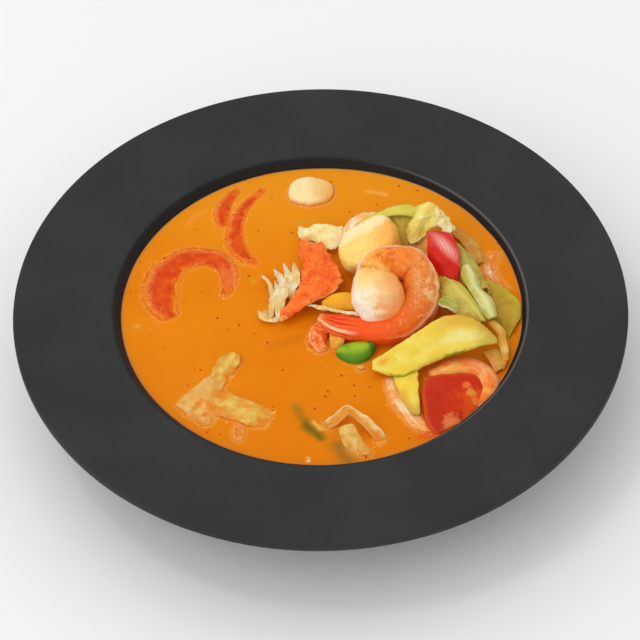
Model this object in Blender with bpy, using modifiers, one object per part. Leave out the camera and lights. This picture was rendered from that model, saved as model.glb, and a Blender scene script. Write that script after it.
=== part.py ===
"""A bowl of panang curry, built together with its wide-rimmed stoneware bowl.

The bowl stands on its foot with its middle at the origin and +Z up. The curry fills it
to below the rim, and prawns, scallops and vegetables float in it or lie heaped at +X.
Sizes and places below are in millimetres; MM turns them into metres.
"""

import math
import random

import bmesh
import bpy
from mathutils import Euler, Vector

MM = 0.001

# The bowl
RIM_RADIUS = 140.4
RIM_TOP = 47.5
WELL_RADIUS = 95.8
WELL_TOP = 43.6
FLOOR_RADIUS = 58.0
FLOOR_TOP = 10.0
FLOOR_UNDERSIDE = 5.0
FOOT_RADIUS = 64.0
FOOT_WIDTH = 5.0
WALL_THICKNESS = 5.8
TURNING_STEPS = 48

# The curry
CURRY_RADIUS = 91.7
CURRY_LEVEL = 39.1

# Fits
BOWL_GAP = 0.3
PIECE_GAP = 0.45
MERGE = 0.01

COLLECTION = "panang_curry_bowl"
ROOMS = "rooms_cut_for_neighbours"


# ---------------------------------------------------------------- scene and materials

def clear_scene():
    """Remove what the scene holds, so that only the bowl of curry is built."""
    for old in list(bpy.data.objects):
        bpy.data.objects.remove(old, do_unlink=True)


def collection(name):
    """A new collection in the scene."""
    made = bpy.data.collections.new(name)
    bpy.context.scene.collection.children.link(made)
    return made


def material(name, colour, roughness):
    """A Principled material of one colour; nothing here is metal."""
    made = bpy.data.materials.new(name)
    made.use_nodes = True
    shader = made.node_tree.nodes["Principled BSDF"]
    shader.inputs["Base Color"].default_value = (*colour, 1.0)
    shader.inputs["Roughness"].default_value = roughness
    shader.inputs["Metallic"].default_value = 0.0
    made.diffuse_color = (*colour, 1.0)
    return made


def add_object(name, mesh, colour, roughness, place=(0, 0, 0), turn=(0, 0, 0)):
    """A named part with its own material, placed in millimetres and turned in degrees."""
    made = bpy.data.objects.new(name, mesh)
    made.location = Vector(place) * MM
    made.rotation_euler = Euler([math.radians(angle) for angle in turn])
    mesh.materials.clear()
    mesh.materials.append(material(name, colour, roughness))
    bpy.data.collections[COLLECTION].objects.link(made)
    return made


def freeze(thing):
    """Apply the modifiers, keep the largest body and drop any loose scrap."""
    bpy.context.view_layer.update()
    evaluated = thing.evaluated_get(bpy.context.evaluated_depsgraph_get())
    mesh = bpy.data.meshes.new_from_object(evaluated)
    thing.modifiers.clear()
    thing.data = mesh
    shell = bmesh.new()
    shell.from_mesh(mesh)
    bmesh.ops.remove_doubles(shell, verts=shell.verts, dist=MERGE * MM)
    bodies = []
    waiting = set(shell.verts)
    while waiting:
        body = set()
        front = [waiting.pop()]
        while front:
            vert = front.pop()
            body.add(vert)
            for edge in vert.link_edges:
                other = edge.other_vert(vert)
                if other in waiting:
                    waiting.remove(other)
                    front.append(other)
        bodies.append(body)
    bodies.sort(key=len)
    for scrap in bodies[:-1]:
        bmesh.ops.delete(shell, geom=list(scrap), context="VERTS")
    shell.to_mesh(mesh)
    shell.free()
    mesh.shade_smooth()
    mesh.set_sharp_from_angle(angle=math.radians(40))
    return thing


# ------------------------------------------------------------------- shaping functions

def along(points, share):
    """The point at a share (0 to 1) of a smooth curve through the points."""
    spans = len(points) - 1
    place = min(share * spans, spans - 1e-6)
    start = int(place)
    part = place - start
    near = [points[max(0, min(spans, start + step))] for step in (-1, 0, 1, 2)]
    return [
        b + 0.5 * part * (c - a + part * (2 * a - 5 * b + 4 * c - d + part * (3 * (b - c) + d - a)))
        for a, b, c, d in zip(*near)
    ]


def turned(name, profile, colour, roughness):
    """A turned shape: a profile of (radius, height) with a Screw modifier."""
    mesh = bpy.data.meshes.new(name)
    points = [(radius * MM, 0, height * MM) for radius, height in profile]
    mesh.from_pydata(points, [(i, i + 1) for i in range(len(points) - 1)], [])
    made = add_object(name, mesh, colour, roughness)
    screw = made.modifiers.new("turn", "SCREW")
    screw.steps = TURNING_STEPS
    screw.render_steps = TURNING_STEPS
    screw.use_merge_vertices = True
    screw.merge_threshold = MERGE * MM
    screw.use_smooth_shade = True
    return made


def arc(middle, radii, start, end, steps):
    """Points of (radius, height) on an elliptical arc, its angles from +radius up."""
    points = []
    for step in range(steps + 1):
        angle = math.radians(start + (end - start) * step / steps)
        points.append((middle[0] + radii[0] * math.cos(angle), middle[1] + radii[1] * math.sin(angle)))
    return points


def sheet(name, edges, thickness, colour, crown=0.0, ripple=0.0, steps=(6, 3), trim=None):
    """A thin wavy piece lofted between two edges, and thickened evenly.

    edges: the two long edges, each a list of (x, y, z).
    crown: how far the middle stands above the edges.
    ripple: the height of the small waves in it.
    trim: for a fringe, the share of the length that each place across keeps.
    """
    shell = bmesh.new()
    bmesh.ops.create_grid(shell, x_segments=steps[0], y_segments=steps[1], size=1.0)
    anchor = Vector(edges[0][0])
    for vert in shell.verts:
        length = (vert.co.x + 1) / 2
        across = (vert.co.y + 1) / 2
        if trim:
            length *= along([(share,) for share in trim], across)[0]
        first = Vector(along(edges[0], length))
        second = Vector(along(edges[1], length))
        point = first.lerp(second, across)
        point.z += crown * (1 - (2 * across - 1) ** 2)
        point.z += ripple * math.sin(7.1 * length + 2.0) * math.cos(5.3 * across + 3.0 * length)
        vert.co = (point - anchor) * MM
    mesh = bpy.data.meshes.new(name)
    shell.to_mesh(mesh)
    shell.free()
    made = add_object(name, mesh, colour, 0.45, place=anchor)
    made.modifiers.new("split faces alike", "TRIANGULATE")
    solid = made.modifiers.new("thickness", "SOLIDIFY")
    solid.thickness = thickness * MM
    solid.offset = 0
    return freeze(made)


def prawn(name, stations, colour, place=(0, 0, 0), turn=(0, 0, 0), rings=16, sides=8, joints=6):
    """A curled prawn, lofted through stations of (x, y, z, half width, half height).

    The body swells in each of its joints, and its two ends are closed flat.
    """
    shell = bmesh.new()
    loops = []
    for ring in range(rings + 1):
        share = ring / rings
        x, y, z, wide, high = along(stations, share)
        ahead = Vector(along(stations, min(1, share + 0.02))[:3])
        behind = Vector(along(stations, max(0, share - 0.02))[:3])
        side = (ahead - behind).cross(Vector((0, 0, 1))).normalized()
        swell = 1 + 0.05 * math.cos(2 * math.pi * joints * share)
        loop = []
        for corner in range(sides):
            angle = 2 * math.pi * corner / sides
            point = Vector((x, y, z)) + side * (wide * swell * math.cos(angle))
            point.z += high * swell * math.sin(angle)
            loop.append(shell.verts.new(point * MM))
        loops.append(loop)
    for first, second in zip(loops, loops[1:]):
        for corner in range(sides):
            after = (corner + 1) % sides
            shell.faces.new((first[corner], first[after], second[after], second[corner]))
    shell.faces.new(loops[0])
    shell.faces.new(reversed(loops[-1]))
    bmesh.ops.recalc_face_normals(shell, faces=shell.faces)
    mesh = bpy.data.meshes.new(name)
    shell.to_mesh(mesh)
    shell.free()
    made = add_object(name, mesh, colour, 0.4, place, turn)
    made.modifiers.new("split", "TRIANGULATE")
    return freeze(made)


def lump(name, radii, height, colour, place, turn=(0, 0, 0), sides=12, uneven=0.05, seed=1):
    """A squat rounded piece: an uneven short cylinder, softened by subdivision."""
    draw = random.Random(seed)
    shell = bmesh.new()
    bmesh.ops.create_cone(
        shell, segments=sides, radius1=1, radius2=1, depth=height * MM, cap_ends=True)
    caps = [face for face in shell.faces if abs(face.normal.z) > 0.5]
    bmesh.ops.inset_individual(shell, faces=caps, thickness=0.3)
    for vert in shell.verts:
        vert.co.x *= radii[0] * MM
        vert.co.y *= radii[1] * MM
        vert.co *= 1 + uneven * draw.uniform(-1, 1)
    mesh = bpy.data.meshes.new(name)
    shell.to_mesh(mesh)
    shell.free()
    made = add_object(name, mesh, colour, 0.4, place, turn)
    soft = made.modifiers.new("soft", "SUBSURF")
    soft.levels = 1
    soft.render_levels = 1
    return freeze(made)


# ----------------------------------------------------------------------------- vessel

def well_wall(gap):
    """The inner wall from the curry's level down to the floor, moved in by a gap."""
    radii = (CURRY_RADIUS - FLOOR_RADIUS - gap, CURRY_LEVEL - FLOOR_TOP)
    return arc((FLOOR_RADIUS, CURRY_LEVEL), radii, 0, -90, 5)


def bowl():
    """Dark matte stoneware: a wide sloping rim, a rounded well and a turned foot."""
    floor = [(0, FLOOR_TOP)] + well_wall(0)[::-1]
    lip = arc((WELL_RADIUS + 0.4, WELL_TOP - 2.2), (2.4, 2.2), 165, 90, 2)
    edge = arc((RIM_RADIUS - 1.0, RIM_TOP - 1.0), (1.0, 1.0), 90, 0, 2)
    edge += arc((RIM_RADIUS - 3.0, RIM_TOP - 3.2), (3.0, 2.6), 0, -80, 3)
    underside = [(104.0, RIM_TOP - 9.6)]
    outer_radii = (CURRY_RADIUS + WALL_THICKNESS - FOOT_RADIUS + 1.0, 31.5)
    wall = arc((FOOT_RADIUS - 1.0, 36.0), outer_radii, 0, -78, 5)
    foot_inner = FOOT_RADIUS - FOOT_WIDTH
    foot = [(FOOT_RADIUS, 0.8), (FOOT_RADIUS - 0.8, 0), (foot_inner + 0.8, 0),
            (foot_inner, 0.8), (foot_inner - 1.4, FLOOR_UNDERSIDE), (0, FLOOR_UNDERSIDE)]
    profile = floor + lip + edge + underside + wall + foot
    return freeze(turned("bowl", profile, (0.045, 0.045, 0.047), 0.6))


def curry():
    """The curry itself, up to its level, before the pieces in it are cut round."""
    profile = [(0, CURRY_LEVEL)] + well_wall(BOWL_GAP) + [(0, FLOOR_TOP + BOWL_GAP)]
    profile[-2] = (FLOOR_RADIUS, FLOOR_TOP + BOWL_GAP)
    return freeze(turned("curry", profile, (0.78, 0.24, 0.02), 0.25))


# ---------------------------------------------------------------- prawns and scallops

def prawns():
    """Peeled prawns, curled: one on top of the heap, the others half sunk round it."""
    pink = (0.85, 0.36, 0.14)
    red = (0.75, 0.12, 0.03)
    return [
        prawn("prawn_top", [
            (-10.8, -11.0, 2.0, 4.5, 4.5), (-11.4, -7.4, 2.0, 9.2, 7.5), (-11.4, 0, 1.6, 10.2, 8.2),
            (-10.8, 9.6, 1.0, 9.0, 8.0), (-2.7, 13.4, 0.6, 8.0, 7.6), (6.4, 10.6, 0, 7.4, 7.2),
            (9.6, 0.4, -0.5, 7.2, 7.0), (7.0, -9.2, -1.2, 7.2, 6.8), (-2.6, -18.2, -2.0, 6.6, 6.2),
            (-12.4, -18.8, -2.8, 5.8, 5.4), (-23.8, -17.2, -3.2, 5.2, 4.0),
            (-31.0, -15.0, -3.2, 4.4, 2.8), (-37.4, -11.6, -3.0, 1.6, 1.0),
        ], pink, place=(37.2, -2.3, 53.0), turn=(18, 0, 0), rings=26, sides=11),
        prawn("prawn_left", [
            (-69.6, -3.5, 36.0, 5.4, 4.4), (-73.4, 5.5, 35.5, 8.4, 6.0), (-73.8, 16.5, 35.5, 9.0, 6.2),
            (-69.4, 27.0, 35.5, 7.8, 6.0), (-61.4, 32.4, 35.8, 6.8, 5.4), (-51.5, 32.4, 36.3, 5.6, 4.6),
            (-44.2, 26.0, 37.0, 4.0, 3.6), (-42.6, 16.0, 37.2, 3.0, 2.8), (-44.4, 9.0, 37.4, 1.8, 1.8),
        ], red, rings=18),
        prawn("prawn_back", [
            (-30.0, 29.5, 37.2, 2.2, 2.0), (-35.4, 33.5, 36.6, 3.8, 3.8), (-39.2, 42.5, 36.4, 4.2, 4.4),
            (-39.2, 54.0, 36.5, 3.8, 4.0), (-35.4, 66.0, 37.0, 2.8, 3.0), (-26.6, 77.4, 37.6, 1.8, 1.6),
        ], red, rings=14),
        prawn("prawn_sliver", [
            (-45.8, 54.0, 37.5, 2.2, 2.0), (-46.2, 61.5, 37.0, 3.4, 3.2),
            (-43.4, 71.0, 37.0, 3.0, 3.0), (-39.0, 77.0, 37.6, 1.6, 1.6),
        ], red, rings=10, joints=4),
        prawn("prawn_low_right", [
            (50.0, -43.5, 38.0, 4.8, 5.0), (59.5, -38.5, 38.4, 5.2, 5.2), (68.5, -39.0, 38.4, 5.2, 5.2),
            (74.0, -45.0, 38.0, 5.0, 5.0), (73.5, -53.0, 37.4, 4.6, 4.6), (68.0, -59.5, 36.6, 3.6, 3.8),
        ], pink, rings=16),
        prawn("prawn_low_left", [
            (31.4, -44.0, 38.0, 3.6, 3.2), (33.2, -52.5, 37.6, 4.2, 3.8), (37.4, -62.5, 37.2, 4.2, 3.8),
            (43.4, -71.0, 36.8, 3.6, 3.6), (47.6, -74.4, 36.6, 2.4, 2.4),
        ], (0.9, 0.55, 0.33), rings=12),
        prawn("prawn_rim", [
            (83.0, 32.5, 37.2, 2.8, 2.4), (79.6, 26.5, 36.4, 4.2, 3.6), (79.4, 18.8, 36.4, 4.4, 3.6),
            (82.8, 13.2, 36.6, 3.8, 3.2), (86.4, 9.4, 37.0, 2.4, 2.2),
        ], pink, rings=12),
        prawn("prawn_behind", [
            (12.5, 29.0, 45.5, 3.6, 3.6), (14.0, 35.5, 49.0, 4.4, 4.4),
            (19.0, 41.0, 51.5, 4.6, 4.6), (26.5, 43.5, 51.0, 4.2, 4.2),
        ], pink, rings=10, joints=4),
        prawn("prawn_bit", [
            (0.5, -26.0, 39.2, 2.6, 2.2), (-1.6, -20.5, 39.8, 4.4, 3.6),
            (0.4, -14.8, 40.2, 4.2, 3.8), (4.4, -12.6, 40.4, 2.8, 2.6),
        ], pink, rings=10, joints=3),
    ]


def scallops():
    """Two peeled scallops, one leaning in the heap and one floating, and two small bits."""
    cream = (0.9, 0.66, 0.36)
    return [
        lump("scallop_top", (16.4, 13.4), 21.0, cream, (23.8, 28.2, 50.0), (13, -26, 35), sides=10, seed=3),
        lump("scallop_floating", (12.9, 10.4), 14.0, cream, (-3.6, 74.4, 35.4), sides=10, seed=5),
        lump("white_nub", (2.2, 2.0), 3.4, cream, (17.6, -37.4, 39.6), sides=6, seed=7),
    ]


# ------------------------------------------------------------------------- vegetables

def peppers():
    """Cut sweet pepper: thick curved pieces with shiny skins."""
    return [
        sheet("red_pepper", (
            [(50.5, 30.5, 56.0), (51.0, 24.0, 57.5), (50.0, 19.5, 54.0), (52.0, 14.5, 48.5)],
            [(61.5, 30.5, 54.0), (64.0, 16.5, 55.0), (64.5, 12.0, 51.0), (64.0, 7.0, 46.5)],
        ), 3.6, (0.55, 0.03, 0.01), crown=1.0),
        sheet("red_pepper_low", (
            [(46.0, -74.0, 39.2), (43.5, -62.5, 40.6), (44.0, -52.0, 41.2), (46.0, -45.5, 41.4)],
            [(60.5, -67.5, 39.4), (65.0, -59.5, 41.2), (64.0, -51.0, 42.2), (60.0, -44.5, 42.2)],
        ), 3.4, (0.6, 0.06, 0.01), crown=0.8, steps=(5, 4)),
        sheet("green_pepper", (
            [(7.0, -29.0, 39.6), (11.0, -32.4, 39.4), (16.0, -33.4, 39.4), (21.0, -31.2, 39.8),
             (24.0, -26.5, 40.4)],
            [(7.4, -28.0, 40.0), (11.0, -25.4, 40.8), (15.5, -24.2, 41.6), (20.5, -24.6, 41.8),
             (23.5, -25.2, 41.6)],
        ), 3.0, (0.12, 0.28, 0.02), crown=1.3, steps=(6, 3)),
        sheet("yellow_pepper", (
            [(0.5, -4.5, 43.0), (6.5, -5.8, 43.4), (12.0, -6.6, 43.8), (16.5, -6.6, 44.0)],
            [(1.0, -2.0, 44.0), (6.0, 2.0, 45.4), (12.0, 2.6, 46.0), (16.5, 1.0, 46.0)],
        ), 2.6, (0.85, 0.4, 0.02), crown=1.2, steps=(5, 3)),
    ]


def courgettes():
    """A long half-moon slice of courgette over the heap, and an end that hangs from it."""
    flesh = (0.82, 0.62, 0.12)
    return [
        sheet("courgette_top", (
            [(23.5, -38.0, 42.5), (30.5, -33.5, 45.0), (39.0, -28.0, 48.0), (47.5, -23.0, 51.0),
             (56.0, -19.0, 53.0), (64.0, -19.5, 53.4), (71.5, -23.0, 52.0), (79.0, -31.0, 49.5)],
            [(23.0, -39.5, 42.5), (29.0, -43.5, 43.5), (36.5, -46.0, 44.5), (45.5, -42.0, 45.5),
             (54.5, -39.0, 47.0), (63.5, -36.5, 48.0), (71.5, -34.0, 48.5), (79.0, -32.5, 49.0)],
        ), 4.0, flesh, crown=1.2, steps=(10, 4)),
        sheet("courgette_end", (
            [(32.0, -43.0, 42.6), (32.5, -50.0, 42.4), (34.5, -57.0, 41.6), (40.0, -67.0, 40.4)],
            [(43.5, -41.5, 43.6), (43.5, -48.5, 43.4), (43.4, -56.0, 42.4), (43.2, -66.5, 40.4)],
        ), 2.4, flesh, crown=0.6, steps=(6, 3)),
    ]


def cabbage():
    """Cabbage leaves and shreds: thin and wavy, folded in the heap, flat on the curry."""
    pale = (0.78, 0.66, 0.26)
    green = (0.62, 0.66, 0.3)
    gold = (0.62, 0.38, 0.06)
    leaves = [
        ("leaf_edge", (
            [(16.5, 35.0, 57.0), (24.0, 38.5, 60.0), (32.5, 42.5, 61.0), (40.5, 46.0, 60.0),
             (48.0, 46.0, 57.0)],
            [(18.0, 32.5, 57.5), (25.5, 35.0, 60.0), (34.0, 37.5, 60.5), (40.5, 39.0, 58.5),
             (45.5, 40.0, 55.5)],
        ), 1.2, (0.6, 0.62, 0.08), 0.3, 0.2, (7, 2)),
        ("leaf_crumpled", (
            [(39.5, 44.0, 55.5), (44.5, 46.5, 57.0), (51.0, 47.5, 57.0), (56.0, 47.5, 55.0),
             (60.5, 44.5, 52.0)],
            [(41.5, 32.0, 50.0), (43.5, 29.0, 50.5), (49.0, 33.5, 51.0), (53.5, 37.0, 51.5),
             (57.0, 38.0, 50.5)],
        ), 1.4, pale, 1.8, 1.4, (7, 4)),
        ("leaf_sunk", (
            [(57.0, 47.0, 43.0), (62.5, 43.5, 41.6), (67.0, 37.5, 41.0), (70.5, 30.0, 40.4),
             (72.0, 23.0, 39.6)],
            [(60.0, 51.0, 42.0), (66.5, 48.0, 40.6), (72.5, 42.5, 40.2), (76.5, 34.0, 39.8),
             (77.5, 26.5, 39.4)],
        ), 1.2, gold, 0.6, 0.2, (6, 2)),
        ("leaf_fold", (
            [(61.5, 25.0, 52.0), (63.5, 18.0, 50.5), (64.5, 10.5, 49.0), (66.0, 5.0, 47.5)],
            [(65.0, 28.0, 50.0), (70.5, 21.5, 48.5), (74.0, 13.5, 46.5), (75.5, 7.0, 45.0)],
        ), 1.2, green, 1.4, 0.6, (6, 3)),
        ("leaf_rib", (
            [(64.5, 7.0, 51.5), (67.0, -0.5, 51.0), (70.0, -7.0, 50.5), (72.0, -13.5, 49.5),
             (74.5, -19.0, 48.0)],
            [(73.0, 9.5, 49.0), (73.5, 2.0, 48.5), (77.0, -3.0, 47.5), (80.0, -9.0, 46.5),
             (80.0, -15.5, 46.0)],
        ), 2.0, green, 1.2, 0.2, (7, 3)),
        ("leaf_right", (
            [(75.5, 3.0, 42.0), (77.5, -6.0, 41.0), (81.5, -14.5, 39.6), (84.5, -19.5, 39.2)],
            [(76.0, 9.5, 43.4), (81.5, 7.0, 43.0), (87.0, 1.5, 42.0), (89.8, -5.5, 41.0)],
        ), 1.2, gold, 0.8, 0.4, (6, 3)),
        ("leaf_middle", (
            [(53.5, -6.0, 49.5), (58.5, -13.0, 50.0), (65.5, -15.5, 50.0), (71.0, -17.0, 49.0)],
            [(55.0, 6.5, 51.5), (61.0, 4.0, 52.0), (66.5, -1.5, 51.0), (70.5, -8.5, 49.5)],
        ), 1.4, (0.55, 0.42, 0.1), 1.0, 0.5, (5, 3)),
        ("leaf_curl", (
            [(53.0, -13.5, 53.0), (56.5, -15.0, 53.6), (61.0, -16.5, 53.2)],
            [(54.0, -10.5, 53.6), (57.0, -11.0, 55.4), (61.5, -13.5, 54.4)],
        ), 1.1, green, 0.5, 0.1, (4, 2)),
        ("leaf_strip", (
            [(75.0, -17.5, 46.6), (79.0, -23.5, 46.2), (80.5, -30.5, 44.8), (82.5, -37.5, 41.6)],
            [(77.5, -15.5, 46.2), (82.0, -22.0, 46.0), (83.4, -29.5, 44.4), (85.5, -36.5, 41.6)],
        ), 1.6, gold, 0.4, 0.3, (6, 2)),
        ("leaf_yellow", (
            [(74.0, -32.0, 41.6), (77.5, -37.5, 41.0), (79.0, -42.5, 40.0)],
            [(79.0, -30.0, 42.6), (82.5, -35.5, 41.6), (82.0, -41.0, 40.6)],
        ), 2.2, (0.7, 0.48, 0.16), 0.6, 0.0, (4, 2)),
        ("leaf_behind_crab", (
            [(-10.0, 48.5, 41.0), (-4.0, 47.5, 42.5), (-0.5, 48.0, 44.5), (5.5, 47.5, 45.5),
             (12.0, 46.0, 45.5)],
            [(-10.5, 44.5, 40.4), (-3.0, 42.0, 41.0), (1.5, 38.0, 41.5), (6.0, 35.0, 42.0),
             (9.0, 37.5, 43.0)],
        ), 1.4, pale, 1.0, 1.2, (7, 3)),
        ("leaf_left", (
            [(-61.0, -60.0, 39.6), (-51.0, -65.5, 39.4), (-40.5, -63.5, 39.4), (-32.5, -66.5, 39.4),
             (-25.5, -65.0, 39.4), (-20.5, -62.5, 39.4)],
            [(-64.0, -52.5, 40.0), (-53.0, -42.0, 40.8), (-44.5, -47.5, 40.8), (-34.0, -51.0, 40.8),
             (-26.5, -56.5, 40.4), (-20.5, -60.5, 39.6)],
        ), 1.1, pale, 0.3, 0.3, (9, 4)),
        ("leaf_left_lobe", (
            [(-50.0, -40.0, 40.8), (-48.0, -35.0, 41.4), (-44.5, -29.5, 42.0), (-40.0, -28.5, 41.6)],
            [(-45.5, -44.5, 40.8), (-42.0, -39.5, 41.0), (-36.5, -34.0, 41.8), (-36.5, -30.0, 41.6)],
        ), 1.4, pale, 0.5, 0.3, (5, 3)),
        ("leaf_tent", (
            [(4.0, -74.0, 39.4), (7.5, -71.5, 41.0), (12.0, -70.5, 43.4), (16.5, -74.5, 42.6),
             (21.0, -78.5, 41.4), (25.0, -81.0, 39.6)],
            [(0.0, -69.5, 40.0), (5.5, -66.0, 43.0), (11.0, -63.5, 46.0), (18.5, -68.0, 44.4),
             (23.0, -72.0, 42.4), (27.0, -76.5, 40.0)],
        ), 1.3, pale, -0.6, 0.3, (9, 3)),
        ("leaf_tent_fold", (
            [(7.2, -74.5, 40.0), (8.5, -80.0, 40.2), (14.0, -86.0, 39.6)],
            [(11.5, -73.5, 40.8), (16.0, -79.5, 41.0), (22.5, -85.0, 39.6)],
        ), 1.2, pale, 0.5, 0.2, (5, 3)),
        ("leaf_tail", (
            [(-9.0, -2.0, 43.4), (0.5, -7.0, 45.2), (11.0, -11.0, 46.6), (18.0, -13.0, 47.4)],
            [(-8.6, 0.2, 43.6), (1.0, -4.6, 45.8), (11.5, -8.6, 47.2), (18.4, -10.8, 48.0)],
        ), 1.1, pale, 0.2, 0.1, (6, 1)),
        ("pale_bit", (
            [(4.5, -24.0, 39.5), (10.0, -23.8, 39.6)],
            [(4.5, -19.8, 40.6), (10.0, -19.8, 41.0)],
        ), 2.0, pale, 0.8, 0.0, (3, 2)),
    ]
    made = [sheet(name, edges, thick, colour, crown, ripple, steps)
            for name, edges, thick, colour, crown, ripple, steps in leaves]
    made.append(sheet("leaf_fringed", (
        [(-25.0, -8.0, 40.0), (-27.0, 1.5, 41.0), (-28.0, 13.0, 42.0), (-28.5, 23.0, 42.0)],
        [(-18.5, -10.0, 40.0), (-15.5, -1.0, 42.0), (-11.5, 11.0, 44.0), (-10.5, 23.0, 43.0)],
    ), 1.2, pale, crown=0.6, steps=(4, 18), trim=[
        0.8, 0.5, 0.62, 0.74, 0.42, 0.8, 1.0, 0.86, 0.5, 0.82, 1.0, 1.0, 0.9]))
    return made


def crab_stick():
    """An unrolled sheet of crab stick, ragged, standing out of the curry on one edge."""
    return sheet("crab_stick", (
        [(-9.5, 43.5, 40.6), (-9.6, 31.0, 41.5), (-9.0, 17.5, 42.5), (-12.4, 3.0, 43.5),
         (-17.5, -5.5, 42.4), (-19.0, -10.5, 41.6)],
        [(1.0, 37.0, 42.0), (5.6, 27.5, 44.6), (11.0, 10.0, 47.2), (3.5, 0.5, 46.8),
         (-8.0, -5.5, 45.0), (-16.0, -9.5, 42.4)],
    ), 2.4, (0.9, 0.2, 0.04), crown=1.0, ripple=0.6, steps=(9, 4))


def leaf_loop():
    """The rolled end of a leaf rib: a short open tube."""
    shell = bmesh.new()
    bmesh.ops.create_cone(shell, segments=10, radius1=3.0 * MM, radius2=2.6 * MM, depth=7.0 * MM)
    mesh = bpy.data.meshes.new("leaf_loop")
    shell.to_mesh(mesh)
    shell.free()
    made = add_object("leaf_loop", mesh, (0.5, 0.5, 0.2), 0.4, (74.8, 3.4, 46.6), (62, 14, 0))
    solid = made.modifiers.new("thickness", "SOLIDIFY")
    solid.thickness = 0.9 * MM
    return freeze(made)


def ring_bit():
    """A thin glassy ring of onion that floats at the front left."""
    bpy.ops.mesh.primitive_torus_add(
        major_segments=12, minor_segments=5, major_radius=2.0 * MM, minor_radius=0.8 * MM)
    mesh = bpy.context.object.data
    bpy.data.objects.remove(bpy.context.object, do_unlink=True)
    for vert in mesh.vertices:
        vert.co.y *= 1.9
    return freeze(add_object("ring_bit", mesh, (0.7, 0.3, 0.08), 0.3, (-36.8, -73.0, 39.4)))


# --------------------------------------------------------------------------- assembly

# From the top of the heap down: a piece is cut round every piece named before it.
HEAP_ORDER = [
    "prawn_top", "courgette_top", "red_pepper", "leaf_edge", "leaf_curl", "scallop_top",
    "crab_stick", "leaf_rib", "leaf_crumpled", "leaf_loop", "leaf_strip", "leaf_middle",
    "leaf_fold", "courgette_end", "leaf_tail", "yellow_pepper", "leaf_fringed",
    "leaf_behind_crab", "green_pepper", "leaf_left_lobe",
]


def corners(thing):
    """The lowest and highest corners of a part's box, in metres."""
    points = [thing.matrix_world @ vert.co for vert in thing.data.vertices]
    low = [min(point[axis] for point in points) for axis in range(3)]
    high = [max(point[axis] for point in points) for axis in range(3)]
    return low, high


def near(first, second):
    """Whether the boxes of two parts come within a gap of each other."""
    low_a, high_a = corners(first)
    low_b, high_b = corners(second)
    reach = PIECE_GAP * MM
    return all(low_a[axis] < high_b[axis] + reach and low_b[axis] < high_a[axis] + reach
               for axis in range(3))


def room_for(piece):
    """A cutter: the piece as modelled, grown all round by the gap to its neighbours."""
    made = bpy.data.objects.new(piece.name + "_room", piece.data)
    made.matrix_world = piece.matrix_world
    grow = made.modifiers.new("gap", "DISPLACE")
    grow.strength = PIECE_GAP * MM
    grow.mid_level = 0
    made.hide_render = True
    made.display_type = "WIRE"
    bpy.data.collections[ROOMS].objects.link(made)
    return made


def cut(piece, cutter):
    """Take a cutter's shape out of a piece; a folded piece's cutter may cross itself."""
    boolean = piece.modifiers.new("room for " + cutter.name, "BOOLEAN")
    boolean.operation = "DIFFERENCE"
    boolean.solver = "MANIFOLD"
    boolean.object = cutter


def build():
    """Make every part, then cut each round those that lie on it or in it."""
    clear_scene()
    collection(COLLECTION)
    collection(ROOMS)
    vessel = bowl()
    pieces = prawns() + scallops() + peppers() + courgettes() + cabbage()
    pieces += [crab_stick(), leaf_loop(), ring_bit()]
    bpy.context.view_layer.update()
    pieces.sort(key=lambda piece: HEAP_ORDER.index(piece.name)
                if piece.name in HEAP_ORDER else len(HEAP_ORDER))
    rooms = {piece.name: room_for(piece) for piece in pieces}
    vessel_room = room_for(vessel)
    for place, piece in enumerate(pieces):
        cut(piece, vessel_room)
        for upper in pieces[:place]:
            if near(upper, piece):
                cut(piece, rooms[upper.name])
    for piece in pieces:
        freeze(piece)
    liquid = curry()
    for piece in pieces:
        if near(piece, liquid):
            cut(liquid, rooms[piece.name])
    freeze(liquid)


build()
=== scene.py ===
"""A bowl of panang curry, dressed over its solids.

A wide-rimmed charcoal stoneware bowl holds a creamy orange coconut curry. Prawns, scallops,
peppers, courgette and cabbage lie heaped at +X, and more float round the bowl.
Sizes and places are in millimetres; MM turns them into metres.
"""

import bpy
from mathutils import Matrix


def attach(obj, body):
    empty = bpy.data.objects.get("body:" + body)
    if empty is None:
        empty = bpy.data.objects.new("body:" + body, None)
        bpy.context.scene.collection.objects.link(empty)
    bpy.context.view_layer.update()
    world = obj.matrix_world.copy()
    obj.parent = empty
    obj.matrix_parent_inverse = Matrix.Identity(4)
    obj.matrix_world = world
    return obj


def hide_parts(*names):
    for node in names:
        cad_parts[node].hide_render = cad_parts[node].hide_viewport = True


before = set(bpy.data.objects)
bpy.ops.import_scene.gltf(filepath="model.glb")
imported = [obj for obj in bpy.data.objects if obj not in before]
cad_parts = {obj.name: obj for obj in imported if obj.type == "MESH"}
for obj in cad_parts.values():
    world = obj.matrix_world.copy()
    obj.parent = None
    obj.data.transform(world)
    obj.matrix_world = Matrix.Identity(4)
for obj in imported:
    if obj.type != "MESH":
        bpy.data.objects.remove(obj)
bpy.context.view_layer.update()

import math
import random

import bmesh
import bpy
import numpy as np
from mathutils import Matrix, Vector, noise
from mathutils.bvhtree import BVHTree

MM = 0.001


# ------------------------------------------------------------------------------ the view
# The bowl is looked at from the front, 48 degrees above the table, through a long lens.
# The view leans by about one degree.

VIEW_ANGLE = math.radians(48.264)
VIEW_LEAN = math.radians(-0.977)
VIEW_TARGET = Vector((-0.3, -12.6, 45.0)) * MM
VIEW_DISTANCE = 1.0
LENS = 123.7

scene = bpy.context.scene


def added(name, data):
    """A new object of the given data, in the scene."""
    made = bpy.data.objects.new(name, data)
    scene.collection.objects.link(made)
    return made


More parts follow.
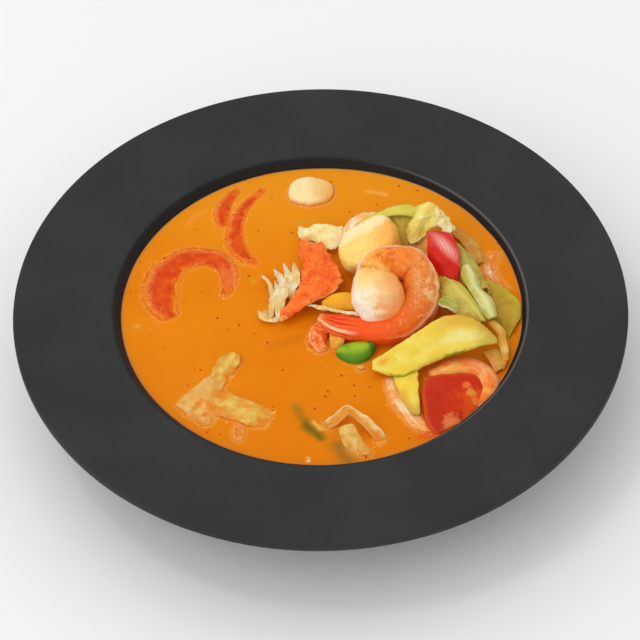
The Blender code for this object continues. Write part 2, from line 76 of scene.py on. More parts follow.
away = Vector((0, -math.cos(VIEW_ANGLE), math.sin(VIEW_ANGLE)))
level_right = Vector((1, 0, 0))
level_up = Vector((0, math.sin(VIEW_ANGLE), math.cos(VIEW_ANGLE)))
view_right = math.cos(VIEW_LEAN) * level_right + math.sin(VIEW_LEAN) * level_up
view_up = math.cos(VIEW_LEAN) * level_up - math.sin(VIEW_LEAN) * level_right
stand = Matrix((view_right, view_up, away)).transposed().to_4x4()
stand.translation = VIEW_TARGET + away * VIEW_DISTANCE
camera = added("camera", bpy.data.cameras.new("camera"))
camera.matrix_world = stand
camera.data.lens = LENS
scene.camera = camera
scene.view_settings.view_transform = "Standard"


# --------------------------------------------------------------------- floor and lights
# A pale tabletop under three soft lights: a broad one behind and above, another at the front
# left, and a small one that gives the wet pieces their glints. A white surround fills the
# shadows. Floor and lights aren't part of the object.

class Value:
    """A shader socket in plain arithmetic: each operator adds its Math node."""

    def __init__(self, tree, socket):
        self.tree = tree
        self.socket = socket

    def math(self, operation, first, second=0.0):
        node = self.tree.nodes.new("ShaderNodeMath")
        node.operation = operation
        feed(node.inputs[0], first)
        feed(node.inputs[1], second)
        return Value(self.tree, node.outputs[0])

    def __add__(self, other):
        return self.math("ADD", self, other)

    def __sub__(self, other):
        return self.math("SUBTRACT", self, other)

    def __rsub__(self, other):
        return self.math("SUBTRACT", other, self)

    def __mul__(self, other):
        return self.math("MULTIPLY", self, other)

    __radd__ = __add__
    __rmul__ = __mul__

    def away_from(self, other):
        return self.math("ABSOLUTE", self - other)

    def sine(self):
        return self.math("SINE", self)

    def root(self):
        return self.math("SQRT", self)


def tone(seen):
    """A shader's colour, by the sRGB curve, from the 0 to 255 values that are seen."""
    return tuple(((part / 255 + 0.055) / 1.055) ** 2.4 for part in seen)


def feed(socket, value):
    """Link a Value to a socket, or set the socket to a number, a vector or a seen colour."""
    if isinstance(value, Value):
        value.tree.links.new(value.socket, socket)
    elif isinstance(value, tuple) and len(socket.default_value) == 4:
        socket.default_value = (*tone(value), 1.0)
    else:
        socket.default_value = value


class Finish:
    """A material: one Principled shader and the nodes that vary it over a surface.

    Its colours are written as they are seen, from 0 to 255, and laid one over another.
    """

    def __init__(self, name, constants, colour=None):
        self.material = bpy.data.materials.new(name)
        self.material.use_nodes = True
        self.tree = self.material.node_tree
        self.shader = self.tree.nodes["Principled BSDF"]
        self.colour = colour
        self.normal = None
        for socket, value in constants.items():
            feed(self.shader.inputs[socket], value)

    def node(self, kind, settings=None, sockets=None, output=0):
        """Any node: its settings first, then the values or links of its sockets."""
        made = self.tree.nodes.new("ShaderNode" + kind)
        for key, value in (settings or {}).items():
            if key == "stops":
                ramp = made.color_ramp
                while len(ramp.elements) < len(value):
                    ramp.elements.new(1.0)
                for element, (place, colour) in zip(ramp.elements, value):
                    element.position = place
                    element.color = (*tone(colour), 1.0)
            else:
                setattr(made, key, value)
        for key, value in (sockets or {}).items():
            feed(made.inputs[key], value)
        return Value(self.tree, made.outputs[output])

    def place(self, stretch=(1, 1, 1), turn=(0, 0, 0)):
        """Object coordinates, turned and stretched for a pattern."""
        here = self.node("TexCoord", output="Object")
        return self.node("Mapping", sockets={"Vector": here, "Scale": stretch, "Rotation": turn})

    def spread(self, stretch=(1, 1, 1)):
        """The piece's own UV map: along it and across it."""
        here = self.node("TexCoord", output="UV")
        return self.node("Mapping", sockets={"Vector": here, "Scale": stretch})

    def axis(self, vector, name):
        return self.node("SeparateXYZ", sockets={"Vector": vector}, output=name)

    def shares(self):
        """How far along the piece a point is, and how far across or round it (0 to 1)."""
        where = self.spread()
        return self.axis(where, "X"), self.axis(where, "Y")

    def attribute(self, name, output="Fac"):
        return self.node("Attribute", {"attribute_name": name}, output=output)

    def cloud(self, size, detail=2.0, where=None, warp=0.0):
        """Soft noise (0 to 1) whose patches are about `size` across."""
        return self.node("TexNoise", sockets={
            "Vector": where or self.place(), "Scale": 1 / size, "Detail": detail,
            "Distortion": warp})

    def cells(self, size, feature="F1", where=None):
        """Distance to scattered points, or to the edges between them, about `size` apart."""
        return self.node("TexVoronoi", {"feature": feature}, {
            "Vector": where or self.place(), "Scale": 1 / size})

    def fade(self, value, low, high):
        """A smooth step: 0 at low and 1 at high, whichever is larger."""
        return self.node("MapRange", {"interpolation_type": "SMOOTHSTEP"}, {
            "Value": value, "From Min": low, "From Max": high})

    def mottled(self, size, low, high, detail=3.0, warp=0.0):
        """Patches `size` millimetres across: 0 where their noise is at low, 1 at high."""
        return self.fade(self.cloud(size * MM, detail, warp=warp), low, high)

    def spot(self, x, y, reach):
        """1 at a place seen from above, in millimetres, ending raggedly at its reach."""
        here = self.place()
        east = self.axis(here, "X") * (1 / MM) - x
        north = self.axis(here, "Y") * (1 / MM) - y
        torn = 3.2 * self.cloud(0.5 * reach * MM, 4.0, warp=0.6) - 0.6
        return self.fade((east * east + north * north) * torn, reach * reach, 0.2 * reach * reach)

    def band(self, value, middle, width):
        """1 at the middle of a band, fading to 0 at its width to either side."""
        return self.fade(value.away_from(middle), width, 0.0)

    def border(self, share, width):
        """1 at both ends of a share (0 to 1), fading to 0 at a width from them."""
        return self.band(share, 0.0, width) + self.band(share, 1.0, width)

    def ramp(self, value, stops):
        return self.node("ValToRGB", {"stops": stops}, {"Fac": value})

    def blend(self, share, first, second):
        """From the first colour to the second."""
        node = self.tree.nodes.new("ShaderNodeMix")
        node.data_type = "RGBA"
        feed(node.inputs[0], share)
        feed(node.inputs[6], first)
        feed(node.inputs[7], second)
        return Value(self.tree, node.outputs[2])

    def relief(self, height, depth):
        """Fine relief: a height (0 to 1) times a depth in metres, over what is there."""
        sockets = {"Height": height, "Distance": depth, "Strength": 1.0}
        if self.normal:
            sockets["Normal"] = self.normal
        self.normal = self.node("Bump", sockets=sockets)
        feed(self.shader.inputs["Normal"], self.normal)

    def bumps(self, size, depth, detail=3.0):
        """Uneven relief in patches `size` across and up to `depth` high, in millimetres."""
        self.relief(self.cloud(size * MM, detail), depth * MM)

    def lay(self, share, colour):
        """Lay a colour over those laid before it, by a share (0 to 1)."""
        self.colour = self.blend(share, self.colour, colour)

    def paint(self, roughness):
        """The material, in the colours laid so far."""
        feed(self.shader.inputs["Base Color"], self.colour)
        feed(self.shader.inputs["Roughness"], roughness)
        return self.material


FLOOR_HALF = 3.0
FLOOR_COLOUR = (244, 244, 245)
FLOOR_ROUGHNESS = 0.8
SURROUND_STRENGTH = 0.77
LIGHTS = {  # each light's place, width and power
    "key": ((-0.4, 0.55, 1.8), 1.3, 3.4),
    "fill": ((-0.9, -0.9, 1.3), 1.4, 7.0),
    "glint": ((-0.5, -0.1, 1.4), 0.2, 1.3),
}

floor_mesh = bpy.data.meshes.new("tabletop")
floor_mesh.from_pydata(
    [(x * FLOOR_HALF, y * FLOOR_HALF, 0) for x, y in ((-1, -1), (1, -1), (1, 1), (-1, 1))],
    [], [(0, 1, 2, 3)])
floor_finish = Finish("tabletop", {"Specular IOR Level": 0.2}, FLOOR_COLOUR)
floor_mesh.materials.append(floor_finish.paint(FLOOR_ROUGHNESS))
floor = added("tabletop", floor_mesh)
for name, (place, width, power) in LIGHTS.items():
    light = added(name, bpy.data.lights.new(name, "AREA"))
    light.location = place
    light.rotation_euler = (-Vector(place)).to_track_quat("-Z", "Y").to_euler()
    light.data.size = width
    light.data.energy = power
world = bpy.data.worlds.new("surroundings")
world.use_nodes = True
surround = world.node_tree.nodes["Background"]
surround.inputs["Color"].default_value = (1, 1, 1, 1)
surround.inputs["Strength"].default_value = SURROUND_STRENGTH
scene.world = world


# ------------------------------------------------------------------------------ the bowl
# Charcoal stoneware, turned on a wheel: a broad rim that slopes up to its edge, a rounded
# well and a foot ring, with a matte glaze of a fine leathery grain. Geometry Nodes turn
# its profile round the bowl's axis.

RIM_RADIUS = 140.4
RIM_TOP = 47.5
WELL_RADIUS = 95.8
WELL_TOP = 43.6
FLOOR_RADIUS = 58.0
FLOOR_TOP = 10.0
FLOOR_UNDERSIDE = 5.0
FOOT_RADIUS = 64.0
FOOT_WIDTH = 5.0
WALL_THICKNESS = 5.8
WALL_LEVEL = 36.0
WALL_DROP = 31.5
SHOULDER_RADIUS = 104.0
SHOULDER_DROP = 9.6
LIP_RADII = (2.4, 2.2)
EDGE_RADII = (1.0, 1.0)
UNDER_EDGE_RADII = (3.0, 2.6)
FOOT_EDGE_RADII = (0.8, 0.8)
CURRY_RADIUS = 91.7
CURRY_LEVEL = 39.1


def arc(middle, radii, start, end, steps):
    """Points of (radius, height) on an elliptical arc, its angles from +radius up."""
    angles = np.radians(np.linspace(start, end, steps + 1))
    return [(middle[0] + radii[0] * math.cos(a), middle[1] + radii[1] * math.sin(a))
            for a in angles]


def well_wall(gap, steps):
    """The inner wall from the floor up to the curry's level, moved in by a gap."""
    radii = (CURRY_RADIUS - FLOOR_RADIUS - gap, CURRY_LEVEL - FLOOR_TOP)
    return arc((FLOOR_RADIUS, CURRY_LEVEL), radii, -90, 0, steps)


def bowl_profile():
    """From the middle of the floor up the well, out over the rim and back under the foot."""
    lip = arc((WELL_RADIUS + 0.4, WELL_TOP - LIP_RADII[1]), LIP_RADII, 165, 95, 7)
    edge = arc((RIM_RADIUS - EDGE_RADII[0], RIM_TOP - EDGE_RADII[1]), EDGE_RADII, 94, 0, 6)
    edge += arc((RIM_RADIUS - UNDER_EDGE_RADII[0], RIM_TOP - 3.2), UNDER_EDGE_RADII, 0, -80, 8)
    wall_radii = (CURRY_RADIUS + WALL_THICKNESS - FOOT_RADIUS + 1.0, WALL_DROP)
    wall = [(SHOULDER_RADIUS, RIM_TOP - SHOULDER_DROP)]
    wall += arc((FOOT_RADIUS - 1.0, WALL_LEVEL), wall_radii, 0, -78, 16)
    inner = FOOT_RADIUS - FOOT_WIDTH
    round_off, lift = FOOT_EDGE_RADII
    foot = arc((FOOT_RADIUS - round_off, lift), FOOT_EDGE_RADII, 0, -90, 4)
    foot += arc((inner + round_off, lift), FOOT_EDGE_RADII, 270, 180, 4)
    foot += [(inner - 1.4, FLOOR_UNDERSIDE), (0, FLOOR_UNDERSIDE)]
    return [(0, FLOOR_TOP)] + well_wall(0, 20) + lip + edge + wall + foot


def new_tree(name, sockets):
    """A Geometry Nodes tree's named inputs, and the functions that add a node and end it."""
    tree = bpy.data.node_groups.new(name, "GeometryNodeTree")
    for label, kind in sockets.items():
        tree.interface.new_socket(label, in_out="INPUT", socket_type="NodeSocket" + kind)
    tree.interface.new_socket("Geometry", in_out="OUTPUT", socket_type="NodeSocketGeometry")

    def node(kind, settings=None, **links):
        made = tree.nodes.new(kind)
        for key, value in (settings or {}).items():
            setattr(made, key, value)
        for key, value in links.items():
            place = int(key[1:]) if key[1:].isdigit() else key.replace("_", " ")
            socket = made.inputs[place]
            if isinstance(value, bpy.types.NodeSocket):
                tree.links.new(value, socket)
            else:
                socket.default_value = value
        return made

    def end(geometry, finish):
        real = node("GeometryNodeRealizeInstances", Geometry=geometry)
        done = node("GeometryNodeSetMaterial", Geometry=real.outputs[0], Material=finish)
        node("NodeGroupOutput", Geometry=done.outputs[0])
        return tree

    return node, end, tree.nodes.new("NodeGroupInput").outputs


def turning_tree():
    """Geometry Nodes: sample the profile along its length and turn it round the Z axis."""
    node, end, given = new_tree("turning", {
        "Profile": "Geometry", "Steps round": "Int", "Steps along": "Int", "Finish": "Material"})
    curve = node("GeometryNodeMeshToCurve", Mesh=given["Profile"])
    grid = node("GeometryNodeMeshGrid", Vertices_X=given["Steps along"],
                Vertices_Y=given["Steps round"])
    split = node("ShaderNodeSeparateXYZ", _0=node("GeometryNodeInputPosition").outputs[0])
    share = node("ShaderNodeMath", _0=split.outputs["X"], _1=0.5)
    sample = node("GeometryNodeSampleCurve", {"use_all_curves": True},
                  Curves=curve.outputs[0], Factor=share.outputs[0])
    angle = node("ShaderNodeMath", {"operation": "MULTIPLY"},
                 _0=split.outputs["Y"], _1=2 * math.pi)
    turn = node("ShaderNodeVectorRotate", {"rotation_type": "Z_AXIS"},
                Vector=sample.outputs["Position"], Angle=angle.outputs[0])
    settle = node("GeometryNodeSetPosition",
                  Geometry=grid.outputs["Mesh"], Position=turn.outputs[0])
    weld = node("GeometryNodeMergeByDistance", Geometry=settle.outputs[0], Distance=0.01 * MM)
    smooth = node("GeometryNodeSetShadeSmooth", Geometry=weld.outputs[0])
    return end(smooth.outputs[0], given["Finish"])


def grown(name, mesh, tree, inputs):
    """A plain mesh made by a Geometry Nodes tree from a starting mesh."""
    made = added(name, mesh)
    modifier = made.modifiers.new("make", "NODES")
    modifier.node_group = tree
    for item in tree.interface.items_tree:
        if item.name in inputs:
            modifier[item.identifier] = inputs[item.name]
    bpy.context.view_layer.update()
    evaluated = made.evaluated_get(bpy.context.evaluated_depsgraph_get())
    result = bpy.data.meshes.new_from_object(evaluated)
    made.modifiers.clear()
    result.materials.clear()
    result.materials.append(inputs["Finish"])
    result.polygons.foreach_set("material_index", [0] * len(result.polygons))
    made.data = result
    result.name = name
    return made


def seal(mesh, reach=0.002):
    """Merge a closed mesh's doubled points, at most a reach in mm apart, and face it out."""
    shell = bmesh.new()
    shell.from_mesh(mesh)
    bmesh.ops.remove_doubles(shell, verts=shell.verts, dist=reach * MM)
    bmesh.ops.recalc_face_normals(shell, faces=shell.faces)
    if shell.calc_volume(signed=True) < 0:
        bmesh.ops.reverse_faces(shell, faces=shell.faces)
    shell.to_mesh(mesh)
    shell.free()
    mesh.shade_smooth()


def belong(piece, node):
    """Put a piece in the bowl's own body, in place of the solid of its name if there is one."""
    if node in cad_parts:
        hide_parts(node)
    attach(piece, "root")


def stoneware_finish():
    """Matte charcoal glaze with a leathery grain, nearly black inside the well.

    Painted shade darkens the well; a painted highlight lightens its rounded lip, most at +X.
    """
    finish = Finish("stoneware", {"Specular IOR Level": 0.2})
    warped = finish.cloud(4.0 * MM, 3.0, warp=0.8)
    grain = finish.cells(1.3 * MM, where=finish.place((1.0, 1.25, 1.0)))
    fine = finish.cloud(0.35 * MM, 3.0)
    finish.relief(grain + 0.6 * warped, 0.2 * MM)
    finish.relief(fine, 0.05 * MM)
    bloom = finish.mottled(38, 0.3, 0.75, 4.0)
    finish.colour = finish.blend(bloom, (41, 41, 42), (50, 50, 51))
    finish.lay(0.6 * finish.fade(grain, 0.32, 0.0), (24, 24, 25))
    here = finish.place()
    east, north = finish.axis(here, "X"), finish.axis(here, "Y")
    radius = (east * east + north * north).root()
    # Painted shade: the well's wall is darkened to nearly black, where shade falls inside it.
    inside = finish.fade(radius, 96.4 * MM, 94.6 * MM)
    finish.lay(0.75 * inside, (16, 15, 14))
    # Painted highlight: a lighter grey band on the well's rounded lip, strongest at +X, where light
    # catches it.
    painted_lip_highlight = finish.band(radius, 95.0 * MM, 0.9 * MM) * finish.fade(east, 10 * MM, 80 * MM)
    finish.lay(0.9 * painted_lip_highlight, (98, 96, 95))
    return finish.paint(0.52 + 0.16 * fine)


profile_points = [(radius * MM, 0, height * MM) for radius, height in bowl_profile()]
profile_mesh = bpy.data.meshes.new("profile")
profile_mesh.from_pydata(profile_points, [(i, i + 1) for i in range(len(profile_points) - 1)], [])
bowl = grown("stoneware_bowl", profile_mesh, turning_tree(), {
    "Steps round": 257, "Steps along": 300, "Finish": stoneware_finish()})
seal(bowl.data)
bowl.data.set_sharp_from_angle(angle=math.radians(50))
belong(bowl, "bowl")


# --------------------------------------------------------------------------- the prawns
# Peeled cooked prawns, curled: white flesh under an orange-red skin, wet with curry. Each
# is lofted through rings along its curl, with its joints as low steps, ridges along its
# back and bumps where the skin has puckered.

CURRY_COLOUR = (230, 128, 18)
WET = {"Coat Weight": 0.3, "Coat Roughness": 0.07, "Coat IOR": 1.38, "Specular IOR Level": 0.06,
       "Subsurface Weight": 0.12, "Subsurface Radius": (1, 0.5, 0.25), "Subsurface Scale": 1.5 * MM}

served = []  # each piece of food, with its colour as a shader sees it


def along(points, share):
    """The point at a share (0 to 1) of a smooth curve through the points."""
    spans = len(points) - 1
    place = min(share * spans, spans - 1e-6)
    start = int(place)
    part = place - start
    near = [points[max(0, min(spans, start + step))] for step in (-1, 0, 1, 2)]
    return [
        b + 0.5 * part * (c - a + part * (2 * a - 5 * b + 4 * c - d + part * (3 * (b - c) + d - a)))
        for a, b, c, d in zip(*near)
    ]


def noisy(pattern, points, size, seed):
    """A noise pattern's value at each point, its features about `size` across."""
    shift = Vector((17.3 * seed, 5.1 * seed, 9.7 * seed))
    values = [pattern(Vector(point) / size + shift) for point in points.reshape(-1, 3)]
    return np.array(values).reshape(points.shape[:-1])


def patches(points, size, seed):
    """Soft noise (-1 to 1) in patches."""
    return noisy(noise.noise, points, size, seed)


def pebbles(points, size, seed):
    """Rounded bumps (0 to 1) packed side by side."""
    far = noisy(lambda point: noise.voronoi(point)[0][0], points, size, seed)
    return 1 - np.minimum(1, far)


def pairs(rows, columns):
    """A grid of each row's value with each column's."""
    return np.stack(np.meshgrid(rows, columns, indexing="ij"), axis=-1)


def ridge(values, middle, width):
    """1 where a value is at the middle, falling to about a third at a width from it."""
    return np.exp(-((values - middle) / width) ** 2)


def skin(name, grid, spots):
    """A mesh over a grid of points in millimetres, with its UV map."""
    rows, columns = grid.shape[:2]
    index = np.arange(rows * columns).reshape(rows, columns)
    faces = np.stack((index[:-1, :-1], index[:-1, 1:], index[1:, 1:], index[1:, :-1]), axis=-1)
    faces = faces.reshape(-1, 4)
    mesh = bpy.data.meshes.new(name)
    mesh.from_pydata((grid.reshape(-1, 3) * MM).tolist(), [], faces.tolist())
    layer = mesh.uv_layers.new(name="spread")
    layer.data.foreach_set("uv", spots.reshape(-1, 2)[faces.ravel()].astype(np.float32).ravel())
    return mesh


def serve(node, mesh, finish, colour, reach=0.002):
    """Close a piece of food's mesh, put it in the bowl and note its colour in the curry."""
    seal(mesh, reach)
    piece = added("cooked_" + node, mesh)
    mesh.materials.clear()
    mesh.materials.append(finish)
    belong(piece, node)
    served.append((piece, tone(colour)))


JOINTS = 6
END_RINGS = 11  # in each rounded end
# Shares of a prawn: the stretch that gives a ring its direction, how much wider it is
# between two folds, and how wide a fold is.
AHEAD = 0.02
SWELL = 0.06
FOLD_WIDTH = 0.012


def prawn(node, stations, finish, colour, place=(0, 0, 0), tilt=0.0, joints=JOINTS, relief=None,
          rings=170, sides=52, groove=0.03, folds=None, afloat=None):
    """A curled prawn, lofted through stations of (x, y, z, half width, half height).

    joints: how many segments it has; folds: where along it the grooves between them lie.
    afloat: the height above which what stands out of the curry is flattened.
    relief: gives the height of the surface's detail, from the share along the prawn, the
    angle round it (0 inside the curl, a half turn on its back) and the points.
    """
    rise = np.linspace(0, math.pi / 2, END_RINGS + 1)[:-1]
    run = [(0.0, -math.cos(a), math.sin(a)) for a in rise]
    run += [(share, 0.0, 1.0) for share in np.linspace(0, 1, rings + 1)]
    run += [(1.0, math.cos(a), math.sin(a)) for a in rise[::-1]]
    angles = np.linspace(0, 2 * math.pi, sides + 1)
    folds = folds or [(number + 0.5) / joints for number in range(joints)]
    grid = np.zeros((len(run), sides + 1, 3))
    middles = np.zeros((len(run), 1, 3))
    for row, (share, push, scale) in enumerate(run):
        x, y, z, wide, high = along(stations, share)
        ahead = Vector(along(stations, min(1, share + AHEAD))[:3])
        behind = Vector(along(stations, max(0, share - AHEAD))[:3])
        forward = (ahead - behind).normalized()
        side = np.array(forward.cross(Vector((0, 0, 1))).normalized())
        swell = 1 + min(SWELL, 0.9 * min(abs(share - fold) for fold in folds))
        swell -= sum(groove * ridge(share, fold, FOLD_WIDTH) for fold in folds)
        middles[row, 0] = np.array((x, y, z)) + np.array(forward) * push * 0.5 * wide
        grid[row] = middles[row] + np.outer(np.cos(angles), side) * wide * swell * scale
        grid[row, :, 2] += high * swell * scale * np.sin(angles)
    cosine, sine = math.cos(math.radians(tilt)), math.sin(math.radians(tilt))
    turn = np.array(((1, 0, 0), (0, cosine, -sine), (0, sine, cosine)))
    grid = grid @ turn.T + np.array(place)
    middles = middles @ turn.T + np.array(place)
    shares = np.array([share for share, _, _ in run])[:, None] * np.ones((1, sides + 1))
    turns = np.ones((len(run), 1)) * angles[None, :]
    if relief:
        outwards = grid - middles
        outwards /= np.maximum(np.linalg.norm(outwards, axis=-1, keepdims=True), 1e-6)
        ends = np.array([scale for _, _, scale in run])[:, None]
        heights = relief(shares, turns, grid) * ends
        heights[:, -1] = heights[:, 0]
        grid += outwards * heights[..., None]
    if afloat:
        above = grid[..., 2] - afloat
        grid[..., 2] = np.where(above > 0, afloat + 0.4 * above, grid[..., 2])
    mesh = skin(node, grid, np.stack((shares, turns / (2 * math.pi)), axis=-1))
    serve(node, mesh, finish, colour)


def top_prawn_relief(shares, turns, points):
    """A thin flange along the back, the crease of the vein, and a ribbed tail."""
    body = np.clip((0.8 - shares) / 0.1, 0, 1) * np.clip((shares - 0.05) / 0.05, 0, 1)
    tail = np.clip((shares - 0.8) / 0.08, 0, 1)
    flange = 0.35 * body * ridge(turns, math.radians(148), 0.13)
    flange -= 0.2 * body * ridge(turns, math.radians(132), 0.10)
    vein = 0.25 * ridge(turns, math.radians(100), 0.09) * ((shares > 0.24) & (shares < 0.4))
    ribs = 0.3 * tail * np.sin(turns * 13 + 2 * np.sin(9 * shares))
    return flange - vein + ribs + 0.45 * patches(points, 5.0, 1) + 0.18 * patches(points, 1.8, 2)


def red_prawn_relief(shares, turns, points):
    """Smooth inside the curl, with small bumps packed along the outer margin."""
    bumps = 1.5 * ridge(turns, 2.5, 0.5) * (pebbles(points, 2.1, 3) - 0.2)
    return bumps + 0.35 * patches(points, 5.0, 4) + 0.12 * patches(points, 1.6, 5)


def soft_prawn_relief(shares, turns, points):
    return 0.45 * patches(points, 5.0, 5) + 0.08 * patches(points, 1.8, 6)


def sauced(finish, over, ragged=1.8, size=2.6):
    """Lay the curry that clings to the foot of a piece, up to a ragged line.

    over: how far above the curry's level that line is; ragged and size: how far it wanders
    up and down, and over what distance.
    """
    height = finish.axis(finish.place(), "Z")
    height = height + (ragged * MM) * (finish.cloud(size * MM, 3.0) - 0.5)
    low = (CURRY_LEVEL + 0.05) * MM
    finish.lay(finish.fade(height, low + over * MM, low), CURRY_COLOUR)


TOP_PRAWN_FOLDS = [0.215, 0.325, 0.425, 0.515, 0.605, 0.69]


def top_prawn_finish():
    """Cream flesh at the head, stained orange over the back, and a red tail fan."""
    finish = Finish("top_prawn", WET | {"Coat Weight": 0.35})
    share, turn = finish.shares()
    wobble = finish.cloud(4 * MM, 3.0) - 0.5
    share = share + 0.06 * wobble
    finish.colour = finish.ramp(share, [
        (0.00, (248, 178, 112)), (0.04, (252, 214, 156)), (0.12, (252, 222, 158)),
        (0.18, (252, 214, 132)), (0.23, (250, 186, 84)), (0.28, (248, 158, 56)),
        (0.36, (248, 138, 44)), (0.45, (232, 138, 58)), (0.53, (224, 132, 58)),
        (0.61, (228, 112, 34)), (0.68, (238, 96, 24)), (0.76, (248, 92, 26)),
        (0.85, (246, 76, 18)), (0.93, (236, 56, 12)), (0.98, (248, 116, 44)),
        (1.00, (252, 200, 126))])
    stain = finish.mottled(4.2, 0.46, 0.62, 4.0, warp=1.4)
    finish.lay(0.85 * stain * finish.band(share, 0.31, 0.13), (238, 100, 22))
    pale = finish.mottled(5.0, 0.44, 0.6, warp=0.8)
    upper = finish.band(turn, 0.33, 0.2)
    finish.lay(0.75 * pale * upper * finish.band(share, 0.5, 0.14), (246, 200, 134))
    lower = finish.border(turn, 0.22)
    finish.lay(0.7 * lower * finish.band(share, 0.5, 0.26), (226, 84, 20))
    for fold in TOP_PRAWN_FOLDS:
        line = finish.band(share, fold, 0.012) * finish.mottled(3, 0.35, 0.6, 2.0)
        finish.lay(0.65 * line, (222, 92, 24))
    freckled = finish.mottled(1.5, 0.48, 0.64, 4.0, warp=0.6) * finish.band(share, 0.5, 0.3)
    finish.lay(0.4 * freckled, (220, 96, 28))
    light = finish.mottled(1.9, 0.56, 0.7, warp=0.8) * finish.band(share, 0.52, 0.3)
    finish.lay(0.45 * light, (252, 204, 146))
    edge = finish.band(turn + 0.03 * wobble, 0.41, 0.03) * finish.fade(share, 0.72, 0.62)
    finish.lay(0.4 * edge, (254, 232, 196))
    inner = finish.band(turn + 0.2 * wobble, 0.0, 0.38) + finish.band(turn + 0.2 * wobble, 1.0, 0.2)
    finish.lay(inner * finish.fade(share, 0.26, 0.16), (243, 146, 66))
    # Whiter flesh, and a painted highlight, on the outer side of the head.
    head = finish.fade(share, 0.17, 0.1) * finish.band(turn + 0.3 * wobble, 0.42, 0.2)
    finish.lay(0.85 * head, (255, 246, 230))
    seam = finish.band(share, 0.222, 0.012) * finish.mottled(2.5, 0.35, 0.5, 2.0)
    finish.lay(0.6 * seam * finish.band(turn, 0.36, 0.2), (196, 104, 30))
    # Pale flesh, and a painted highlight, along the outer side of the front half.
    back = finish.band(turn, 0.5, 0.15) * finish.fade(share, 0.46, 0.3)
    finish.lay(0.8 * back, (254, 240, 216))
    stripes = (turn * 82.0 + 5.0 * finish.cloud(4 * MM, 2.0)).sine() * 0.5 + 0.5
    tail = finish.fade(share, 0.79, 0.87)
    finish.lay(0.6 * stripes * tail, (253, 130, 66))
    finish.lay(0.5 * (1 - stripes) * tail, (222, 44, 8))
    finish.lay(0.8 * finish.band(turn, 0.36, 0.05) * tail, (252, 214, 160))
    feed(finish.shader.inputs["Coat Weight"], 0.32 - 0.26 * tail)
    finish.bumps(2.2, 0.22, 4.0)
    finish.bumps(0.7, 0.05)
    sauced(finish, 0.8)
    return finish.paint(0.34)


def red_prawn_finish():
    """Smooth orange-red, with pale outlines round the small bumps of its outer margin."""
    finish = Finish("red_prawn", WET | {"Coat Weight": 0.2, "Specular IOR Level": 0.05})
    turn = finish.axis(finish.spread(), "Y") + 0.07 * (finish.cloud(3 * MM, 3.0) - 0.5)
    finish.colour = finish.blend(finish.mottled(5, 0.35, 0.7), (212, 62, 4), (226, 88, 12))
    margin = finish.band(turn, 0.42, 0.13)
    finish.lay(0.75 * margin, (244, 132, 56))
    outlines = finish.fade(finish.cells(2.1 * MM, "DISTANCE_TO_EDGE"), 0.2, 0.04)
    kept = finish.mottled(4, 0.35, 0.6)
    finish.lay(0.6 * outlines * margin * kept, (252, 186, 122))
    outer = finish.band(turn, 0.5, 0.06)
    finish.lay(0.6 * outer, (248, 168, 92))
    finish.lay(0.4 * finish.spot(-42.0, 20.0, 8.0), (250, 140, 70))
    finish.bumps(1.4, 0.08)
    sauced(finish, 0.7)
    return finish.paint(0.3)


def soft_prawn_finish(name, flesh, skin_colour, over, lines=0.5, strands=0.0, patch=3.0):
    """Half-sunk prawn: orange skin with pale lines at its joints and along its edge.

    strands: how much pale flesh shows in long strands; patch: how wide its patches are.
    """
    finish = Finish(name, WET)
    share, turn = finish.shares()
    mottle = finish.mottled(patch, 0.36, 0.68, warp=0.6)
    finish.colour = finish.blend(mottle, skin_colour, flesh)
    fibres = finish.fade(finish.cloud(1.0, 3.0, where=finish.spread((3, 13, 1))), 0.46, 0.64)
    finish.lay(strands * fibres, (254, 238, 206))
    joints = finish.fade((share * (JOINTS * 2 * math.pi)).sine(), 0.9, 1.0)
    joints *= finish.mottled(3, 0.4, 0.6, 2.0)
    finish.lay(lines * joints, (252, 222, 178))
    edge = finish.band(turn + 0.05 * finish.cloud(2 * MM, 2.0), 0.42, 0.035)
    finish.lay(1.4 * lines * edge, (254, 228, 190))
    finish.bumps(0.8, 0.06)
    sauced(finish, over)
    return finish.paint(0.3)


red_skin = red_prawn_finish()
pink_skin = soft_prawn_finish("pink_prawn", (248, 160, 84), (236, 92, 24), 0.8, 0.3)
pale_skin = soft_prawn_finish("pale_prawn", (250, 206, 136), (246, 170, 90), 1.1, 0.0, 0.9, 6.0)
sunk_skin = soft_prawn_finish("sunk_prawn", (242, 170, 84), (228, 130, 40), 1.3, 0.0, 0.6, 6.0)
low_skin = soft_prawn_finish("low_prawn", (248, 172, 82), (238, 122, 36), 0.9, 0.05, 0.2, 8.0)
prawn("prawn_top", [
    (-9.6, -12.4, 0.4, 8.8, 6), (-10.4, -6.6, 1.5, 11.5, 8), (-11.7, 1.5, 1.4, 10.7, 8.6),
    (-10.6, 9.6, 1, 9.2, 8.2), (-2.7, 13.4, 0.6, 8.2, 7.8), (6.3, 10.6, 0, 7.8, 7.4),
    (9.1, 0.6, -0.5, 8.1, 7.3), (7, -9.2, -1.2, 7.9, 7), (-1.8, -17.8, -2, 7, 6.3),
    (-12.4, -19.2, -2.8, 5.8, 5.4), (-23.8, -17.2, -3.2, 5.2, 4),
    (-31, -15, -3.2, 4.4, 2.8), (-37.4, -11.6, -3, 1.6, 1),
], top_prawn_finish(), (226, 110, 50), (37.2, -2.3, 53), 18, relief=top_prawn_relief,
    rings=300, sides=84, folds=TOP_PRAWN_FOLDS)
prawn("prawn_left", [
    (-69.6, -3.5, 36, 5.4, 4.4), (-73.4, 5.5, 35.5, 8.4, 6), (-73.8, 16.5, 35.5, 9, 6.2),
    (-69.4, 27, 35.5, 7.8, 6), (-61.4, 32.4, 35.9, 6.8, 5.4), (-51.5, 32.4, 36.8, 5.6, 4.6),
    (-43.8, 26, 37.6, 4.4, 3.8), (-42.2, 16, 38.2, 3.2, 2.8), (-44.4, 9, 37.6, 1.8, 1.8),
], red_skin, (214, 80, 14), relief=red_prawn_relief, rings=230, sides=72, groove=0.0,
    afloat=CURRY_LEVEL)
